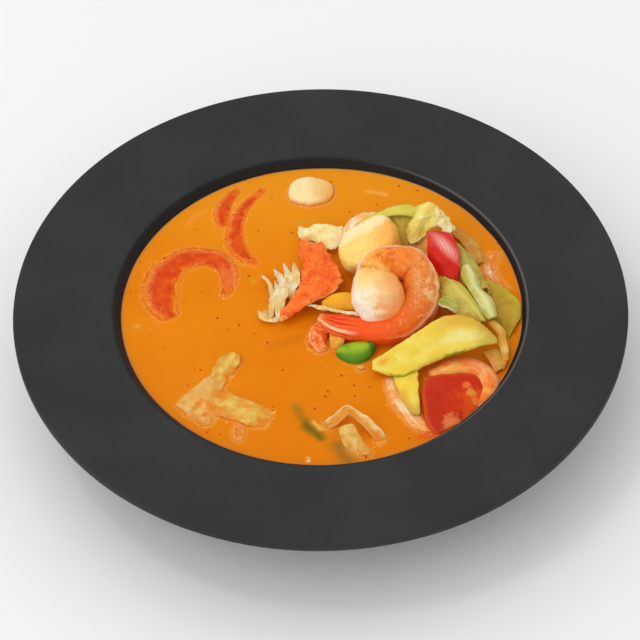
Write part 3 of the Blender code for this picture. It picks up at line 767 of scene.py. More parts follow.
prawn("prawn_back", [
    (-30, 29.5, 37.4, 2.2, 2), (-35.6, 33.5, 37, 4, 3.8), (-39.6, 42.5, 36.9, 4.4, 4.4),
    (-39.6, 54, 37, 3.8, 4), (-35.4, 66, 37.7, 2.6, 3), (-26.6, 77.4, 38.4, 1.6, 1.6),
], red_skin, (232, 98, 16), relief=red_prawn_relief, groove=0.0, afloat=CURRY_LEVEL)
prawn("prawn_sliver", [
    (-45.8, 54, 38.2, 2.4, 2), (-46.4, 61.5, 37.9, 3.6, 3.2),
    (-43.4, 71, 37.9, 3, 3), (-39, 77, 38.3, 1.6, 1.6),
], red_skin, (224, 84, 16), relief=red_prawn_relief, joints=4, rings=110, groove=0.0,
    afloat=CURRY_LEVEL)
prawn("prawn_low_right", [
    (50, -43.5, 38, 4.8, 5), (59.5, -38.5, 38.4, 5.2, 5.2), (68.5, -39, 38.4, 5.2, 5.2),
    (74, -45, 38, 5, 5), (73.5, -53, 37.4, 4.6, 4.6), (68, -59.5, 36.6, 3.6, 3.8),
], low_skin, (220, 90, 26), relief=soft_prawn_relief, groove=0.01)
prawn("prawn_low_left", [
    (31.4, -44, 38, 3.6, 3.2), (33.2, -52.5, 37.6, 4.2, 3.8), (37.4, -62.5, 37.2, 4.2, 3.8),
    (43.4, -71, 36.8, 3.6, 3.6), (47.6, -74.4, 36.6, 2.4, 2.4),
], pale_skin, (244, 160, 84), relief=soft_prawn_relief, groove=0.0,
    afloat=CURRY_LEVEL + 0.4)
prawn("prawn_rim", [
    (83, 32.5, 37.2, 2.8, 2.4), (79.6, 26.5, 36.4, 4.2, 3.6), (79.4, 18.8, 36.4, 4.4, 3.6),
    (82.8, 13.2, 36.6, 3.8, 3.2), (86.4, 9.4, 37, 2.4, 2.2),
], sunk_skin, (234, 144, 56), relief=soft_prawn_relief, groove=0.01)
prawn("prawn_behind", [
    (12.5, 29, 45.5, 3.6, 3.6), (14, 35.5, 49, 4.4, 4.4),
    (19, 41, 51.5, 4.6, 4.6), (26.5, 43.5, 51, 4.2, 4.2),
], pale_skin, (240, 190, 130), relief=soft_prawn_relief, joints=4)
prawn("prawn_bit", [
    (0.5, -26, 39.2, 2.6, 2.2), (-1.6, -20.5, 39.8, 4.4, 3.6),
    (0.4, -14.8, 40.2, 4.2, 3.8), (4.4, -12.6, 40.4, 2.8, 2.6),
], pink_skin, (230, 120, 60), relief=soft_prawn_relief, joints=3)


# -------------------------------------------------------------------------- the scallops
# Cooked scallops: squat cylinders of cream flesh whose fibres run along them, browned to
# orange where curry has soaked in. Each grows from a short uneven cage, subdivided.

def scallop(node, radii, height, place, finish, sides, seed, turn=(0, 0, 0), uneven=0.05, levels=5,
            square=0.0, flat=None):
    """A squat rounded piece: an uneven short cylinder, softened by subdivision.

    square: how far its sides are pulled out into corners; flat: a plane that it is pressed
    flat against, as (x, y, z) and a distance.
    """
    draw = random.Random(seed)
    shell = bmesh.new()
    bmesh.ops.create_cone(
        shell, segments=sides, radius1=1, radius2=1, depth=height * MM, cap_ends=True)
    caps = [face for face in shell.faces if abs(face.normal.z) > 0.5]
    bmesh.ops.inset_individual(shell, faces=caps, thickness=0.3)
    for vert in shell.verts:
        pull = 1 + square * math.cos(4 * math.atan2(vert.co.y, vert.co.x))
        vert.co.x *= radii[0] * MM * pull
        vert.co.y *= radii[1] * MM * pull
        vert.co *= 1 + uneven * draw.uniform(-1, 1)
    cage = bpy.data.meshes.new(node)
    shell.to_mesh(cage)
    shell.free()
    form = added("form", cage)
    soft = form.modifiers.new("soft", "SUBSURF")
    soft.levels = levels
    soft.render_levels = levels
    bpy.context.view_layer.update()
    evaluated = form.evaluated_get(bpy.context.evaluated_depsgraph_get())
    mesh = bpy.data.meshes.new_from_object(evaluated)
    bpy.data.objects.remove(form, do_unlink=True)
    normals = np.array([vert.normal for vert in mesh.vertices])
    points = np.array([vert.co for vert in mesh.vertices]) / MM
    fibres = patches(points * np.array((1, 1, 0.12)), 0.9, seed)
    caps_only = np.clip((np.abs(points[:, 2]) / height - 0.28) / 0.1, 0, 1)
    lift = 0.05 * fibres + 0.7 * patches(points, 7.0, seed + 1)
    lift += 0.2 * patches(points, 3.0, seed + 3)
    lift += 0.08 * caps_only * patches(points, 1.7, seed + 2)
    points += normals * lift[:, None]
    stance = Matrix.Translation(Vector(place) * MM)
    for angle, axis in zip(turn[::-1], "ZYX"):
        stance = stance @ Matrix.Rotation(math.radians(angle), 4, axis)
    for vert, point in zip(mesh.vertices, points):
        vert.co = stance @ (Vector(point) * MM)
        if flat:
            beyond = max(0, vert.co.dot(Vector(flat[:3])) - flat[3] * MM)
            vert.co -= Vector(flat[:3]) * beyond * 0.9
    mesh.name = node
    serve(node, mesh, finish, (240, 196, 130))


def scallop_finish(name, cream, soaked, start, end, over=1.4, pale=None):
    """Cream flesh, soaked with curry from `start` to `end` along X and in small stains.

    pale: a plane near which a painted highlight whitens the flesh, as (x, y, z) and a distance.
    """
    finish = Finish(name, WET | {"Subsurface Weight": 0.2})
    where = finish.place()
    shade = finish.axis(where, "X") + (5 * MM) * (finish.cloud(7 * MM, 3.0) - 0.5)
    finish.colour = finish.blend(finish.fade(shade, start * MM, end * MM), cream, soaked)
    stains = finish.mottled(4.5, 0.55, 0.75, 4.0, warp=0.9)
    finish.lay(0.5 * stains, (248, 204, 98))
    # Painted highlight: the flesh is whitened near the cut face, where light catches it.
    if pale:
        reach = sum(part * finish.axis(where, side) for part, side in zip(pale, "XYZ"))
        reach += (4 * MM) * finish.cloud(5 * MM)
        near = finish.fade(reach, (pale[3] - 3.5) * MM, pale[3] * MM)
        finish.lay(0.6 * near, (255, 242, 200))
    spots = finish.fade(finish.cells(7.0 * MM), 0.12, 0.07)
    finish.lay(0.4 * spots, (220, 140, 46))
    grain = finish.mottled(0.9, 0.35, 0.65)
    finish.lay(0.12 * grain, (254, 246, 220))
    finish.bumps(3.0, 0.2)
    finish.bumps(0.6, 0.05)
    sauced(finish, over)
    return finish.paint(0.4)


CUT_FACE = (-0.466, 0.659, 0.589)
heaped = scallop_finish("heap_scallop", (252, 214, 108), (250, 174, 64), 20, 33,
                        pale=(*CUT_FACE, 47.5))
floating = scallop_finish("floating_scallop", (250, 224, 160), (236, 172, 78), -7, 6, 2.6)
scallop("scallop_top", (16.4, 13.4), 21.0, (23.8, 28.2, 50), heaped, 10,
        turn=(13, -26, 35), seed=3, square=0.05, flat=(*CUT_FACE, 48.3))
scallop("scallop_floating", (13.2, 10.4), 13.0, (-3.6, 74.4, 35.4), floating, 9, seed=5,
        uneven=0.09)
scallop("white_nub", (2.6, 1.9), 3.4, (17.6, -37.4, 39.4), floating, 6, seed=7, levels=4)


# --------------------------------------------------------------------------- the peppers
# Cut sweet pepper: thick curved strips with a glossy skin outside and paler flesh at the
# cut edges. Like all flat pieces here, each is a sheet lofted between two edges.

def spaced(count):
    """Shares from 0 to 1, closer together near both ends."""
    even = np.linspace(0, 1, count)
    return 0.55 * even + 0.45 * (0.5 - 0.5 * np.cos(np.pi * even))


def length_of(points):
    """The length of a line through points."""
    steps = np.diff(np.array(points), axis=0)
    return float(np.linalg.norm(steps, axis=1).sum())


def sheet(node, slot, edges, thickness, finish, colour, crown=0.0, ripple=0.0, grid=(90, 46),
          corner=0.06, ragged=0.0, nick=2.6, crumple=0.0, fold=5.0, relief=None,
          round_off=1.0, drop=0.0, thin_ends=0.0, seed=1):
    """A flat piece lofted between two edges, thickened and rounded off at its border.

    crown and ripple: how far the middle stands up, and the height of the small waves.
    corner: how far the corners are rounded off; ragged, nick: how deep and long the bites
    in the border are; crumple, fold: how high and wide the creases are; relief: gives the
    height of raised detail from the shares along and across the piece, and its points.
    round_off: how far in from the border it is rounded, times half its thickness; drop: how
    much deeper it all lies; thin_ends: how much thinner it gets towards both ends.
    """
    shares, acrosses = spaced(grid[0]), spaced(grid[1])
    far = max(length_of(edges[0]), length_of(edges[1]))
    spans = [np.subtract(along(edges[0], s), along(edges[1], s)) for s in (0.25, 0.5, 0.75)]
    wide = float(np.mean([np.linalg.norm(span) for span in spans]))
    middle = np.zeros((grid[0], grid[1], 3))
    for row, share in enumerate(shares):
        for column, across in enumerate(acrosses):
            inset_a = corner * abs(2 * across - 1) ** 7
            inset_b = corner * far / wide * 0.5 * abs(2 * share - 1) ** 9
            if ragged:
                ends = noise.noise(Vector((across * wide / nick, 3.1, seed)))
                sides = noise.noise(Vector((share * far / nick, 7.7 + (across > 0.5) * 5, seed)))
                inset_a += ragged * (0.5 + ends)
                inset_b += ragged * far / wide * 0.5 * (0.5 + sides)
            length = 0.5 + (share - 0.5) * (1 - max(0, inset_a))
            width = 0.5 + (across - 0.5) * (1 - max(0, min(0.9, inset_b)))
            first, second = np.array(along(edges[0], length)), np.array(along(edges[1], length))
            point = first + (second - first) * width
            point[2] += crown * (1 - (2 * width - 1) ** 2)
            point[2] += ripple * math.sin(7.1 * length + 2.0) * math.cos(5.3 * width + 3.0 * length)
            middle[row, column] = point
    normals = np.cross(np.gradient(middle, axis=0), np.gradient(middle, axis=1))
    normals /= np.maximum(np.linalg.norm(normals, axis=-1, keepdims=True), 1e-9)
    if normals[..., 2].mean() < 0:
        normals = -normals
    if crumple:
        folds = np.clip(1 - 3 * np.abs(patches(middle, fold, seed + 1)), -0.6, 1)
        creases = patches(middle, fold, seed) + 0.4 * folds
        creases += 0.12 * patches(middle, fold / 3, seed + 2)
        middle += normals * (crumple * creases)[..., None]
    middle[..., 2] -= drop
    from_side = np.minimum(acrosses, 1 - acrosses)[None, :] * wide
    from_end = np.minimum(shares, 1 - shares)[:, None] * far
    rim = np.minimum(1, np.minimum(from_side, from_end) / (thickness / 2 * round_off))
    half = thickness / 2 * np.sqrt(np.clip(1 - (1 - rim) ** 2, 0, 1))
    half *= 1 - thin_ends * np.clip(1 - np.minimum(shares, 1 - shares) / 0.2, 0, 1)[:, None]
    raised = np.zeros_like(half)
    if relief:
        raised = relief(shares[:, None], acrosses[None, :], middle) * rim
    spots = pairs(shares, acrosses)
    over = skin(node, middle + normals * (half + raised)[..., None], spots)
    under = skin(node + "_under", middle - normals * half[..., None], spots)
    shell = bmesh.new()
    shell.from_mesh(over)
    shell.from_mesh(under)
    shell.to_mesh(over)
    shell.free()
    bpy.data.meshes.remove(under)
    serve(node, over, finish, colour, 0.01)


def pepper_finish(name, skin_tone, dark, pale, cut_tone, rim, over=0.5, lower=None, right=None,
                  spots=(), sheen=False):
    """Glossy skin, darker in patches and paler in a few, and paler flesh at the cut edges.

    rim: how wide those edges are. lower and right: a darker colour laid towards its first edge
    and its far end, if given; on the green pepper it is painted shade. spots: ragged patches of
    other colours, as (x, y, reach, colour); sheen: whether a pale hatched painted highlight
    lies on the skin.
    """
    finish = Finish(name, WET | {"Coat Weight": 0.25, "Coat Roughness": 0.1})
    share, across = finish.shares()
    finish.colour = finish.blend(finish.mottled(5, 0.35, 0.7, 2.0), skin_tone, dark)
    finish.lay(0.5 * finish.mottled(7, 0.6, 0.75), pale)
    uneven = 0.5 * (finish.cloud(5 * MM, 3.0) - 0.5)
    # lower and right darken the skin towards its first edge and far end.
    if lower:
        finish.lay(finish.fade(across + uneven, 0.5, 0.18), lower)
    if right:
        finish.lay(finish.fade(share + uneven, 0.6, 0.9), right)
    for side in (share, across):
        finish.lay(0.7 * finish.border(side, rim), cut_tone)
    for x, y, reach, spot_tone in spots:
        finish.lay(0.85 * finish.spot(x, y, reach), spot_tone)
    # Painted highlight: a pale hatched sheen across the upper skin, where light would catch it.
    if sheen:
        hatch = (share * 60.0 - across * 50.0 + 9.0 * finish.cloud(3 * MM)).sine() * 0.5 + 0.5
        lit = finish.band(share - 0.3 * across, 0.16, 0.24) * finish.band(across, 0.55, 0.6)
        finish.lay(lit * (0.5 + 0.5 * hatch), (244, 186, 170))
    finish.bumps(1.6, 0.05, 2.0)
    sauced(finish, over)
    return finish.paint(0.26)


def pepper_waves(shares, acrosses, points):
    return 0.25 * patches(points, 4.5, 8)


red = pepper_finish("red_pepper", (224, 40, 18), (206, 28, 12), (230, 60, 40),
                    (240, 120, 84), 0.03, sheen=True)
deep_red = pepper_finish(
    "red_pepper_low", (206, 50, 4), (188, 36, 2), (216, 74, 14), (220, 90, 26), 0.1,
    over=0.7, lower=(186, 40, 2), right=(196, 44, 6), spots=(
        (69.0, -60.0, 11.0, (220, 76, 14)), (57.0, -71.5, 5.6, (226, 124, 68)),
        (64.2, -50.5, 2.4, (226, 120, 40)), (66.0, -54.5, 2.6, (228, 140, 54)),
        (68.0, -59.0, 2.4, (226, 120, 40))))
# Painted shade: the green pepper is darkened towards its first edge and its far end.
leaf_green = pepper_finish("green_pepper", (160, 188, 34), (120, 164, 28), (206, 222, 90),
                           (190, 190, 70), 0.05, over=0.3, lower=(84, 138, 22),
                           right=(70, 112, 18))
yellow = pepper_finish("yellow_pepper", (242, 176, 34), (236, 160, 26), (248, 206, 96),
                       (246, 206, 110), 0.05)

sheet("red_pepper", "red_pepper", (
    [(49.5, 30, 56), (50, 24, 57.2), (50, 18.5, 54), (53, 12, 48)],
    [(61.5, 30.5, 54), (64, 16.5, 55), (64.5, 12, 51), (64, 7, 46.5)],
), 3.6, red, (190, 40, 20), crown=1.0, corner=0.03, relief=pepper_waves, round_off=0.6)
sheet("red_pepper_low", "red_pepper", (
    [(50, -77, 38.6), (45.2, -70, 40.4), (43.8, -57.5, 41.2), (45, -45, 41.6)],
    [(60, -70.5, 38.8), (69, -60.3, 39.2), (74.2, -52.5, 39.6), (69, -42.5, 40.8)],
), 2.6, deep_red, (216, 78, 18), crown=1.0, corner=0.14, ragged=0.05, nick=6.0, crumple=0.25,
      fold=9.0, relief=pepper_waves)
sheet("green_pepper", "green_pepper", (
    [(7, -29, 39.4), (11, -33.2, 39.2), (16, -34.6, 39.2), (21, -32.2, 39.6),
     (24, -26.5, 40.4)],
    [(7.4, -28, 40), (11, -25.4, 40.8), (15.5, -24.2, 41.6), (20.5, -24.6, 41.8),
     (23.5, -25.2, 41.6)],
), 3.0, leaf_green, (150, 140, 40), crown=2.2, grid=(80, 40))
sheet("yellow_pepper", "yellow_pepper", (
    [(0.5, -4.5, 43), (6.5, -5.8, 43.4), (12, -6.6, 43.8), (16.5, -6.6, 44)],
    [(1, -2, 44), (6, 2, 45.4), (12, 2.6, 46), (16.5, 1, 46)],
), 2.6, yellow, (236, 170, 40), crown=1.2, grid=(80, 40))


# ----------------------------------------------------------------------- the courgette
# A long half-moon slice of courgette and the end of another: pale yellow flesh, paler in
# its middle, with faint seeds. A thin green skin shows at the outer edge.

def courgette_finish(name, flesh, pale, skins, pith=0.85):
    """Yellow flesh, browned at one end.

    skins: where along the piece its green skin shows, as (start, end) pairs; pith: how pale
    its middle is.
    """
    finish = Finish(name, WET | {"Coat Weight": 0.4, "Subsurface Weight": 0.2})
    share, across = finish.shares()
    finish.colour = finish.blend(finish.mottled(6, 0.35, 0.65), flesh, pale)
    golden = finish.fade(share, 0.4, 0.66) * finish.fade(across, 0.55, 0.2)
    finish.lay(0.75 * golden, (218, 160, 50))
    core = finish.band(across + 0.16 * (finish.cloud(6 * MM, 2.0) - 0.5), 0.62, 0.24)
    finish.lay(pith * core * finish.band(share, 0.72, 0.3), (240, 226, 150))
    tip = finish.band(share + 0.05 * finish.cloud(3 * MM), 0.13, 0.08)
    tip *= finish.band(across, 0.5, 0.32)
    finish.lay(0.75 * tip, (232, 150, 26))
    browned = finish.fade(share + 0.1 * finish.cloud(4 * MM), 0.82, 1.0)
    finish.lay(0.8 * browned, (196, 160, 66))
    seeds = finish.fade(finish.cells(2.4 * MM, where=finish.place((1, 0.6, 1))), 0.28, 0.16)
    finish.lay(0.25 * seeds * core, (214, 178, 70))
    finish.lay(finish.band(across, 0.0, 0.07), (238, 206, 96))
    for start, end in skins:
        begun = finish.fade(share, start - 0.02, start + 0.02)
        ended = finish.fade(share, end + 0.02, end - 0.02)
        line = 0.85 * finish.fade(across, 0.945, 0.975) * begun * ended
        finish.lay(line, (132, 168, 20))
    spots = finish.mottled(1.2, 0.68, 0.78, warp=0.5)
    finish.lay(0.5 * spots, (206, 150, 40))
    finish.bumps(1.0, 0.10)
    sauced(finish, 0.6)
    return finish.paint(0.36)


def courgette_relief(shares, acrosses, points):
    """A scalloped back rim, a hollow along the core and fibres along the slice."""
    rim = ridge(acrosses, 0.0, 0.07) * (0.5 + 0.5 * np.sin(shares * 120))
    fibres = patches(points * np.array((0.5, 1, 1)), 2.2, 9)
    return 0.3 * rim - 0.5 * ridge(acrosses, 0.62, 0.16) + 0.25 * fibres


slice_finish = courgette_finish("courgette_slice", (234, 204, 62), (238, 214, 92),
                                ((0.16, 0.36), (0.58, 0.74), (0.84, 1)))
end_finish = courgette_finish("courgette_end", (238, 200, 46), (240, 208, 70), (), 0.15)

sheet("courgette_top", "courgette", (
    [(22.6, -36, 42.6), (30, -33, 45), (39, -28, 48), (47.5, -23, 51),
     (56, -19, 53), (64, -19.5, 53.4), (71.5, -23, 52), (79, -31, 49.5)],
    [(22.4, -41, 42.2), (29, -44.6, 43), (36, -47, 43.8), (45.5, -42.5, 45.3),
     (54.5, -39, 47), (63.5, -36.5, 48), (71.5, -34, 48.5), (79, -32.5, 49)],
), 4.0, slice_finish, (234, 190, 70), crown=1.2, grid=(170, 70), corner=0.05, ragged=0.03,
      nick=2.0, relief=courgette_relief, thin_ends=0.75, seed=3)
sheet("courgette_end", "courgette", (
    [(32, -43, 42.6), (32.5, -50, 42.4), (34.5, -57, 41.6), (40, -67, 40.4)],
    [(43.5, -41.5, 43.6), (43.5, -48.5, 43.4), (43.4, -56, 42.4), (43.2, -66.5, 40.4)],
), 2.4, end_finish, (234, 190, 70), crown=0.6, corner=0.04, ragged=0.12, nick=4.0, crumple=0.3,
      seed=4)


# -------------------------------------------------------------------------- the cabbage
# Cabbage leaves and shreds, wilted: thin wavy sheets with a net of veins and pale ribs,
# from fresh green through straw yellow to the colour of the curry that has soaked in.

def cabbage_finish(name, body, rib, border, soak, middle=0.5, rib_width=0.07, over=0.8, green=0.0,
                   edge=0.05, vein=0.3, ragged=1.8, soaked_side=0.0):
    """A leaf, with the colours of its body, its ribs and its border.

    soak: how much curry has soaked in. middle, rib_width and vein: where across the leaf its
    middle rib runs, and how wide and clear it is. over and ragged: how high and how unevenly
    curry clings to it; green: how green it is near its second edge; edge: how wide its border
    is; soaked_side: how much curry covers the side of its first edge.
    """
    finish = Finish(name, WET | {
        "Coat Weight": 0.3, "Subsurface Weight": 0.2, "Subsurface Scale": 2 * MM})
    share, across = finish.shares()
    drift = finish.cloud(8 * MM, 3.0, warp=0.6) - 0.5
    finish.colour = finish.blend(0.7 * finish.fade(drift, -0.1, 0.2), body, rib)
    soaked = finish.mottled(4.5, 0.44, 0.68, 4.0, warp=0.8)
    finish.lay(soak * soaked, (226, 142, 30))
    streaks = finish.fade(finish.cloud(1.0, 3.0, where=finish.spread((2.5, 22, 1))), 0.5, 0.7)
    finish.lay(0.4 * streaks, rib)
    spine = finish.band(across + 0.12 * drift, middle, rib_width)
    finish.lay(vein * spine, rib)
    finish.lay(green * finish.fade(across + 0.2 * drift, 0.7, 0.95), (186, 198, 40))
    rim = finish.border(across, edge)
    ends = finish.border(share, 0.03)
    finish.lay(0.8 * rim, border)
    finish.lay(0.6 * ends, border)
    flooded = finish.fade(across + 0.6 * drift, 0.95, 0.4)
    finish.lay(soaked_side * flooded, (229, 140, 34))
    finish.relief(streaks, 0.12 * MM)
    finish.bumps(2.0, 0.12)
    sauced(finish, over, ragged, 2.6 + 0.8 * (ragged - 1.8))
    return finish.paint(0.33)


def leaf_relief(middle=0.5, height=0.5, width=0.07):
    """A raised rib along the leaf and low ridges that branch from it."""
    def heights(shares, acrosses, points):
        rib = height * ridge(acrosses, middle, width)
        branches = np.sin(26 * shares + 16 * np.abs(acrosses - middle)) ** 8
        return rib + 0.18 * branches
    return heights


straw = cabbage_finish("straw_leaf", (251, 230, 150), (254, 244, 206), (254, 242, 196), 0.25)
fringed = cabbage_finish("fringed_leaf", (242, 204, 120), (255, 250, 230), (253, 234, 182), 0.5)
cupped = cabbage_finish("cupped_leaf", (244, 222, 104), (252, 242, 166), (253, 244, 204), 0.25)
lemon = cabbage_finish("lemon_leaf", (226, 206, 80), (238, 224, 124), (128, 184, 14), 0.15,
                       edge=0.16)
fresh = cabbage_finish("fresh_leaf", (176, 156, 56), (200, 190, 96), (236, 238, 190), 0.15,
                       green=0.4, edge=0.08)
ribbed = cabbage_finish("leaf_rib", (186, 176, 66), (236, 236, 168), (160, 172, 44), 0.25,
                        middle=0.5, rib_width=0.34, vein=0.75, edge=0.1)
golden = cabbage_finish("golden_leaf", (176, 138, 30), (196, 166, 52), (196, 204, 60), 0.35,
                        middle=0.3, green=0.4)
middling = cabbage_finish("middle_leaf", (190, 164, 62), (216, 202, 96), (222, 220, 126), 0.15,
                          middle=0.72, rib_width=0.22, green=0.3, vein=0.8)
curled = cabbage_finish("curled_leaf", (166, 162, 62), (206, 206, 112), (248, 246, 214), 0.0,
                        edge=0.2)
olive = cabbage_finish("olive_leaf", (206, 140, 44), (224, 176, 92), (190, 140, 50), 0.3, over=1.4)
creamy = cabbage_finish("creamy_leaf", (248, 162, 54), (252, 200, 112), (250, 180, 76), 0.3)
strip = cabbage_finish("leaf_strip", (220, 158, 54), (248, 214, 126), (244, 200, 104), 0.4)
tented = cabbage_finish("tent_leaf", (238, 180, 84), (250, 224, 152), (254, 236, 180), 0.9,
                        over=1.6, edge=0.2, vein=0.0, ragged=2.8, soaked_side=0.85)
folded = cabbage_finish("tent_fold", (222, 172, 76), (240, 214, 136), (232, 166, 68), 0.9,
                        over=1.9, vein=0.0, ragged=3.4)
drifting = cabbage_finish("drifting_leaf", (222, 164, 66), (238, 216, 108), (230, 152, 54), 0.9,
                          over=2.1, edge=0.14, rib_width=0.26, vein=0.6, ragged=4.0)
panel = cabbage_finish("leaf_panel", (230, 172, 84), (238, 198, 120), (244, 164, 98), 0.5,
                       over=1.7, edge=0.1, vein=0.0, ragged=3.6)


def leaf(node, edges, finish, colour, crown, ripple, thickness=0.7, **more):
    """One leaf, or a fold or shred of one."""
    sheet(node, "cabbage", edges, thickness, finish, colour, crown, ripple, **more)


leaf("leaf_edge", (
    [(16.5, 35, 57), (24, 38.5, 60), (32.5, 42.5, 61), (40.5, 46, 60), (48, 46, 57)],
    [(18, 32.5, 57.5), (25.5, 35, 60), (34, 37.5, 60.5), (40.5, 39, 58.5), (45.5, 40, 55.5)],
), lemon, (200, 200, 80), 0.3, 0.2, crumple=0.3, fold=7.0, ragged=0.03)
leaf("leaf_edge_fall", (
    [(28.5, 41.4, 58.5), (33.6, 43.4, 60), (38.5, 44.6, 60), (45.5, 44, 58.5)],
    [(36.8, 34.5, 47), (38.4, 31.5, 46.5), (41.4, 30.7, 46), (45, 33.2, 46)],
), middling, (200, 180, 80), 1.6, 0.8, grid=(80, 80), crumple=0.9, fold=7.0, seed=41)
leaf("leaf_under_pepper", (
    [(40, 33.5, 46), (44.3, 33.9, 47), (47.6, 34.8, 48), (51.5, 35.7, 49)],
    [(43, 27.1, 45), (46.5, 25.1, 46), (50, 23.7, 47), (53.4, 24.8, 48)],
), strip, (190, 140, 60), 0.8, 0.4, grid=(60, 50), crumple=0.7, fold=6.0, seed=42)
leaf("leaf_crumpled", (
    [(39.5, 44, 55.5), (44.5, 46.5, 57), (51, 47.5, 57), (56, 47.5, 55), (60.5, 44.5, 52)],
    [(41.5, 32, 50), (43.5, 29, 50.5), (49, 33.5, 51), (53.5, 37, 51.5), (57, 38, 50.5)],
), cupped, (220, 190, 90), 2.2, 0.8, grid=(130, 100), ragged=0.07, nick=2.6, crumple=1.8,
     fold=8.0, relief=leaf_relief(0.5, 0.4, 0.05), seed=6)
leaf("leaf_crumpled_frill", (
    [(50.5, 46.5, 56.5), (54.5, 46.5, 56), (58, 45.5, 54), (62, 43, 51.5), (64, 38.5, 49)],
    [(48, 40.5, 54.5), (52, 39.5, 54), (55, 38, 53), (57.5, 35.5, 51.5), (59.5, 32.5, 50)],
), straw, (220, 190, 90), 1.2, 1.0, grid=(110, 70), ragged=0.12, nick=1.8, crumple=1.5,
     fold=4.5, seed=7)
leaf("leaf_sunk", (
    [(57, 47, 43), (62.5, 43.5, 41.6), (67, 37.5, 41), (70.5, 30, 40.4), (72, 23, 39.6)],
    [(60, 51, 42), (66.5, 48, 40.6), (72.5, 42.5, 40.2), (76.5, 34, 39.8), (77.5, 26.5, 39.4)],
), olive, (206, 146, 50), 0.8, 0.2, relief=leaf_relief(0.5, 0.5, 0.1), crumple=0.4, ragged=0.03)
leaf("leaf_fold", (
    [(61.5, 25, 52), (63.5, 18, 50.5), (64.5, 10.5, 49), (66, 5, 47.5)],
    [(65, 28, 50), (70.5, 21.5, 48.5), (74, 13.5, 46.5), (75.5, 7, 45)],
), fresh, (190, 180, 80), 1.8, 0.4, relief=leaf_relief(0.5, 0.5, 0.06), crumple=0.5, fold=8.0,
     seed=8)
leaf("leaf_rib", (
    [(66, 13, 50.6), (64.6, 7, 51.6), (67.6, -1.5, 51.4), (70.6, -9, 50.8), (74.6, -19, 48.4)],
    [(69, 14.5, 49.6), (72.8, 8.5, 49.4), (73.4, 1, 49), (78.2, -5, 47.8), (80.6, -15, 46.4)],
), ribbed, (200, 190, 100), 1.4, 0.2, relief=leaf_relief(0.45, 0.3, 0.2), corner=0.12, seed=9,
     thickness=1.8)
leaf("leaf_right", (
    [(75.5, 3, 42), (77.5, -6, 41), (80.5, -15.5, 39.8), (83.5, -24.5, 39.2)],
    [(77, 11, 44.4), (84.4, 6.2, 43.8), (90.6, -1, 42.8), (91.6, -9.5, 41.2)],
), golden, (190, 140, 50), 1.0, 0.4, grid=(110, 80), crumple=0.7, fold=8.0, seed=10)
leaf("leaf_middle", (
    [(53.6, 8, 48.4), (53.6, 0, 49.6), (56.4, -10, 50), (63, -16, 50), (70, -20.5, 49)],
    [(58.6, 7, 49.4), (63, 3, 51.6), (67, -3, 52), (70.6, -10, 51.2), (74.5, -20, 49.5)],
), middling, (180, 140, 50), 1.6, 0.4, grid=(120, 80), relief=leaf_relief(0.7, 0.5, 0.08),
     crumple=0.8, fold=8.0, seed=11)
leaf("leaf_curl", (
    [(53, -12, 52.8), (56.8, -14.4, 53.4), (61.4, -17, 53)],
    [(54, -9.5, 54.2), (57.6, -10, 56.2), (62.4, -14.6, 54.2)],
), curled, (200, 190, 100), 1.6, 0.2, grid=(70, 50), crumple=0.5, fold=4.0, ragged=0.08, seed=12)
leaf("leaf_strip", (
    [(75, -17.5, 46.6), (79, -23.5, 46.2), (80, -30.5, 44.8), (81.6, -37.5, 41.4)],
    [(78.5, -15.5, 46.2), (83, -22, 46), (84, -29, 44.4), (84.6, -35.5, 41.4)],
), strip, (220, 160, 60), 0.6, 0.3, crumple=0.5, fold=4.0, ragged=0.07, grid=(120, 44), seed=13,
     thickness=0.9)
leaf("leaf_yellow", (
    [(73, -31, 41.6), (76, -37.5, 41), (77, -42.5, 39.6)],
    [(80, -30, 42.6), (83, -35.5, 41.6), (81.5, -40, 40.4)],
), olive, (220, 160, 60), 0.9, 0.0, grid=(80, 50), crumple=0.5, fold=6.0, seed=14, thickness=1.2)
leaf("leaf_behind_crab", (
    [(-10, 48.5, 41), (-4, 47.5, 42.5), (-0.5, 48, 44.5), (5.5, 47.5, 45.5), (12, 46, 45.5)],
    [(-10.5, 43.5, 40.4), (-3, 40.5, 41), (1.5, 36.5, 41.5), (6, 33.5, 42), (10, 35.5, 43)],
), straw, (236, 196, 96), 1.4, 0.8, grid=(120, 80), ragged=0.09, nick=2.2, crumple=1.3, fold=6.0,
     seed=15, thickness=0.9)
leaf("leaf_left", (
    [(-48.5, -63.5, 39.4), (-38, -67, 40), (-31, -71, 39.8), (-24, -70, 39)],
    [(-48.5, -48, 39.8), (-40, -51, 40.6), (-31, -55.5, 40.6), (-21.5, -61.5, 39.4)],
), drifting, (234, 178, 70), 0.5, 0.3, grid=(170, 100), ragged=0.12, nick=3.6, crumple=0.8,
     fold=7.0, drop=0.5, seed=16)
leaf("leaf_left_panel", (
    [(-49, -38.5, 40.4), (-57, -47, 40.6), (-65, -56, 40.4), (-60.5, -62.5, 40),
     (-52, -69.5, 39.6)],
    [(-43, -44, 40), (-43, -50, 39.8), (-44, -56, 39.8), (-45, -62, 39.6),
     (-48.5, -68.5, 39.2)],
), panel, (232, 168, 76), 0.4, 0.2, grid=(150, 90), ragged=0.08, nick=2.0, crumple=0.7, fold=5.0,
     drop=0.5, seed=24)
leaf("leaf_left_lobe", (
    [(-50.5, -43, 39.8), (-49.4, -37, 40.6), (-45.5, -30, 41.4), (-40.5, -27.5, 41.4)],
    [(-43, -46, 39.4), (-40.5, -40.5, 39.6), (-36.8, -35, 40.4), (-36.6, -30, 41)],
), drifting, (236, 174, 62), 0.7, 0.3, ragged=0.14, nick=2.4, crumple=0.9, fold=5.0,
     drop=0.5, seed=17)
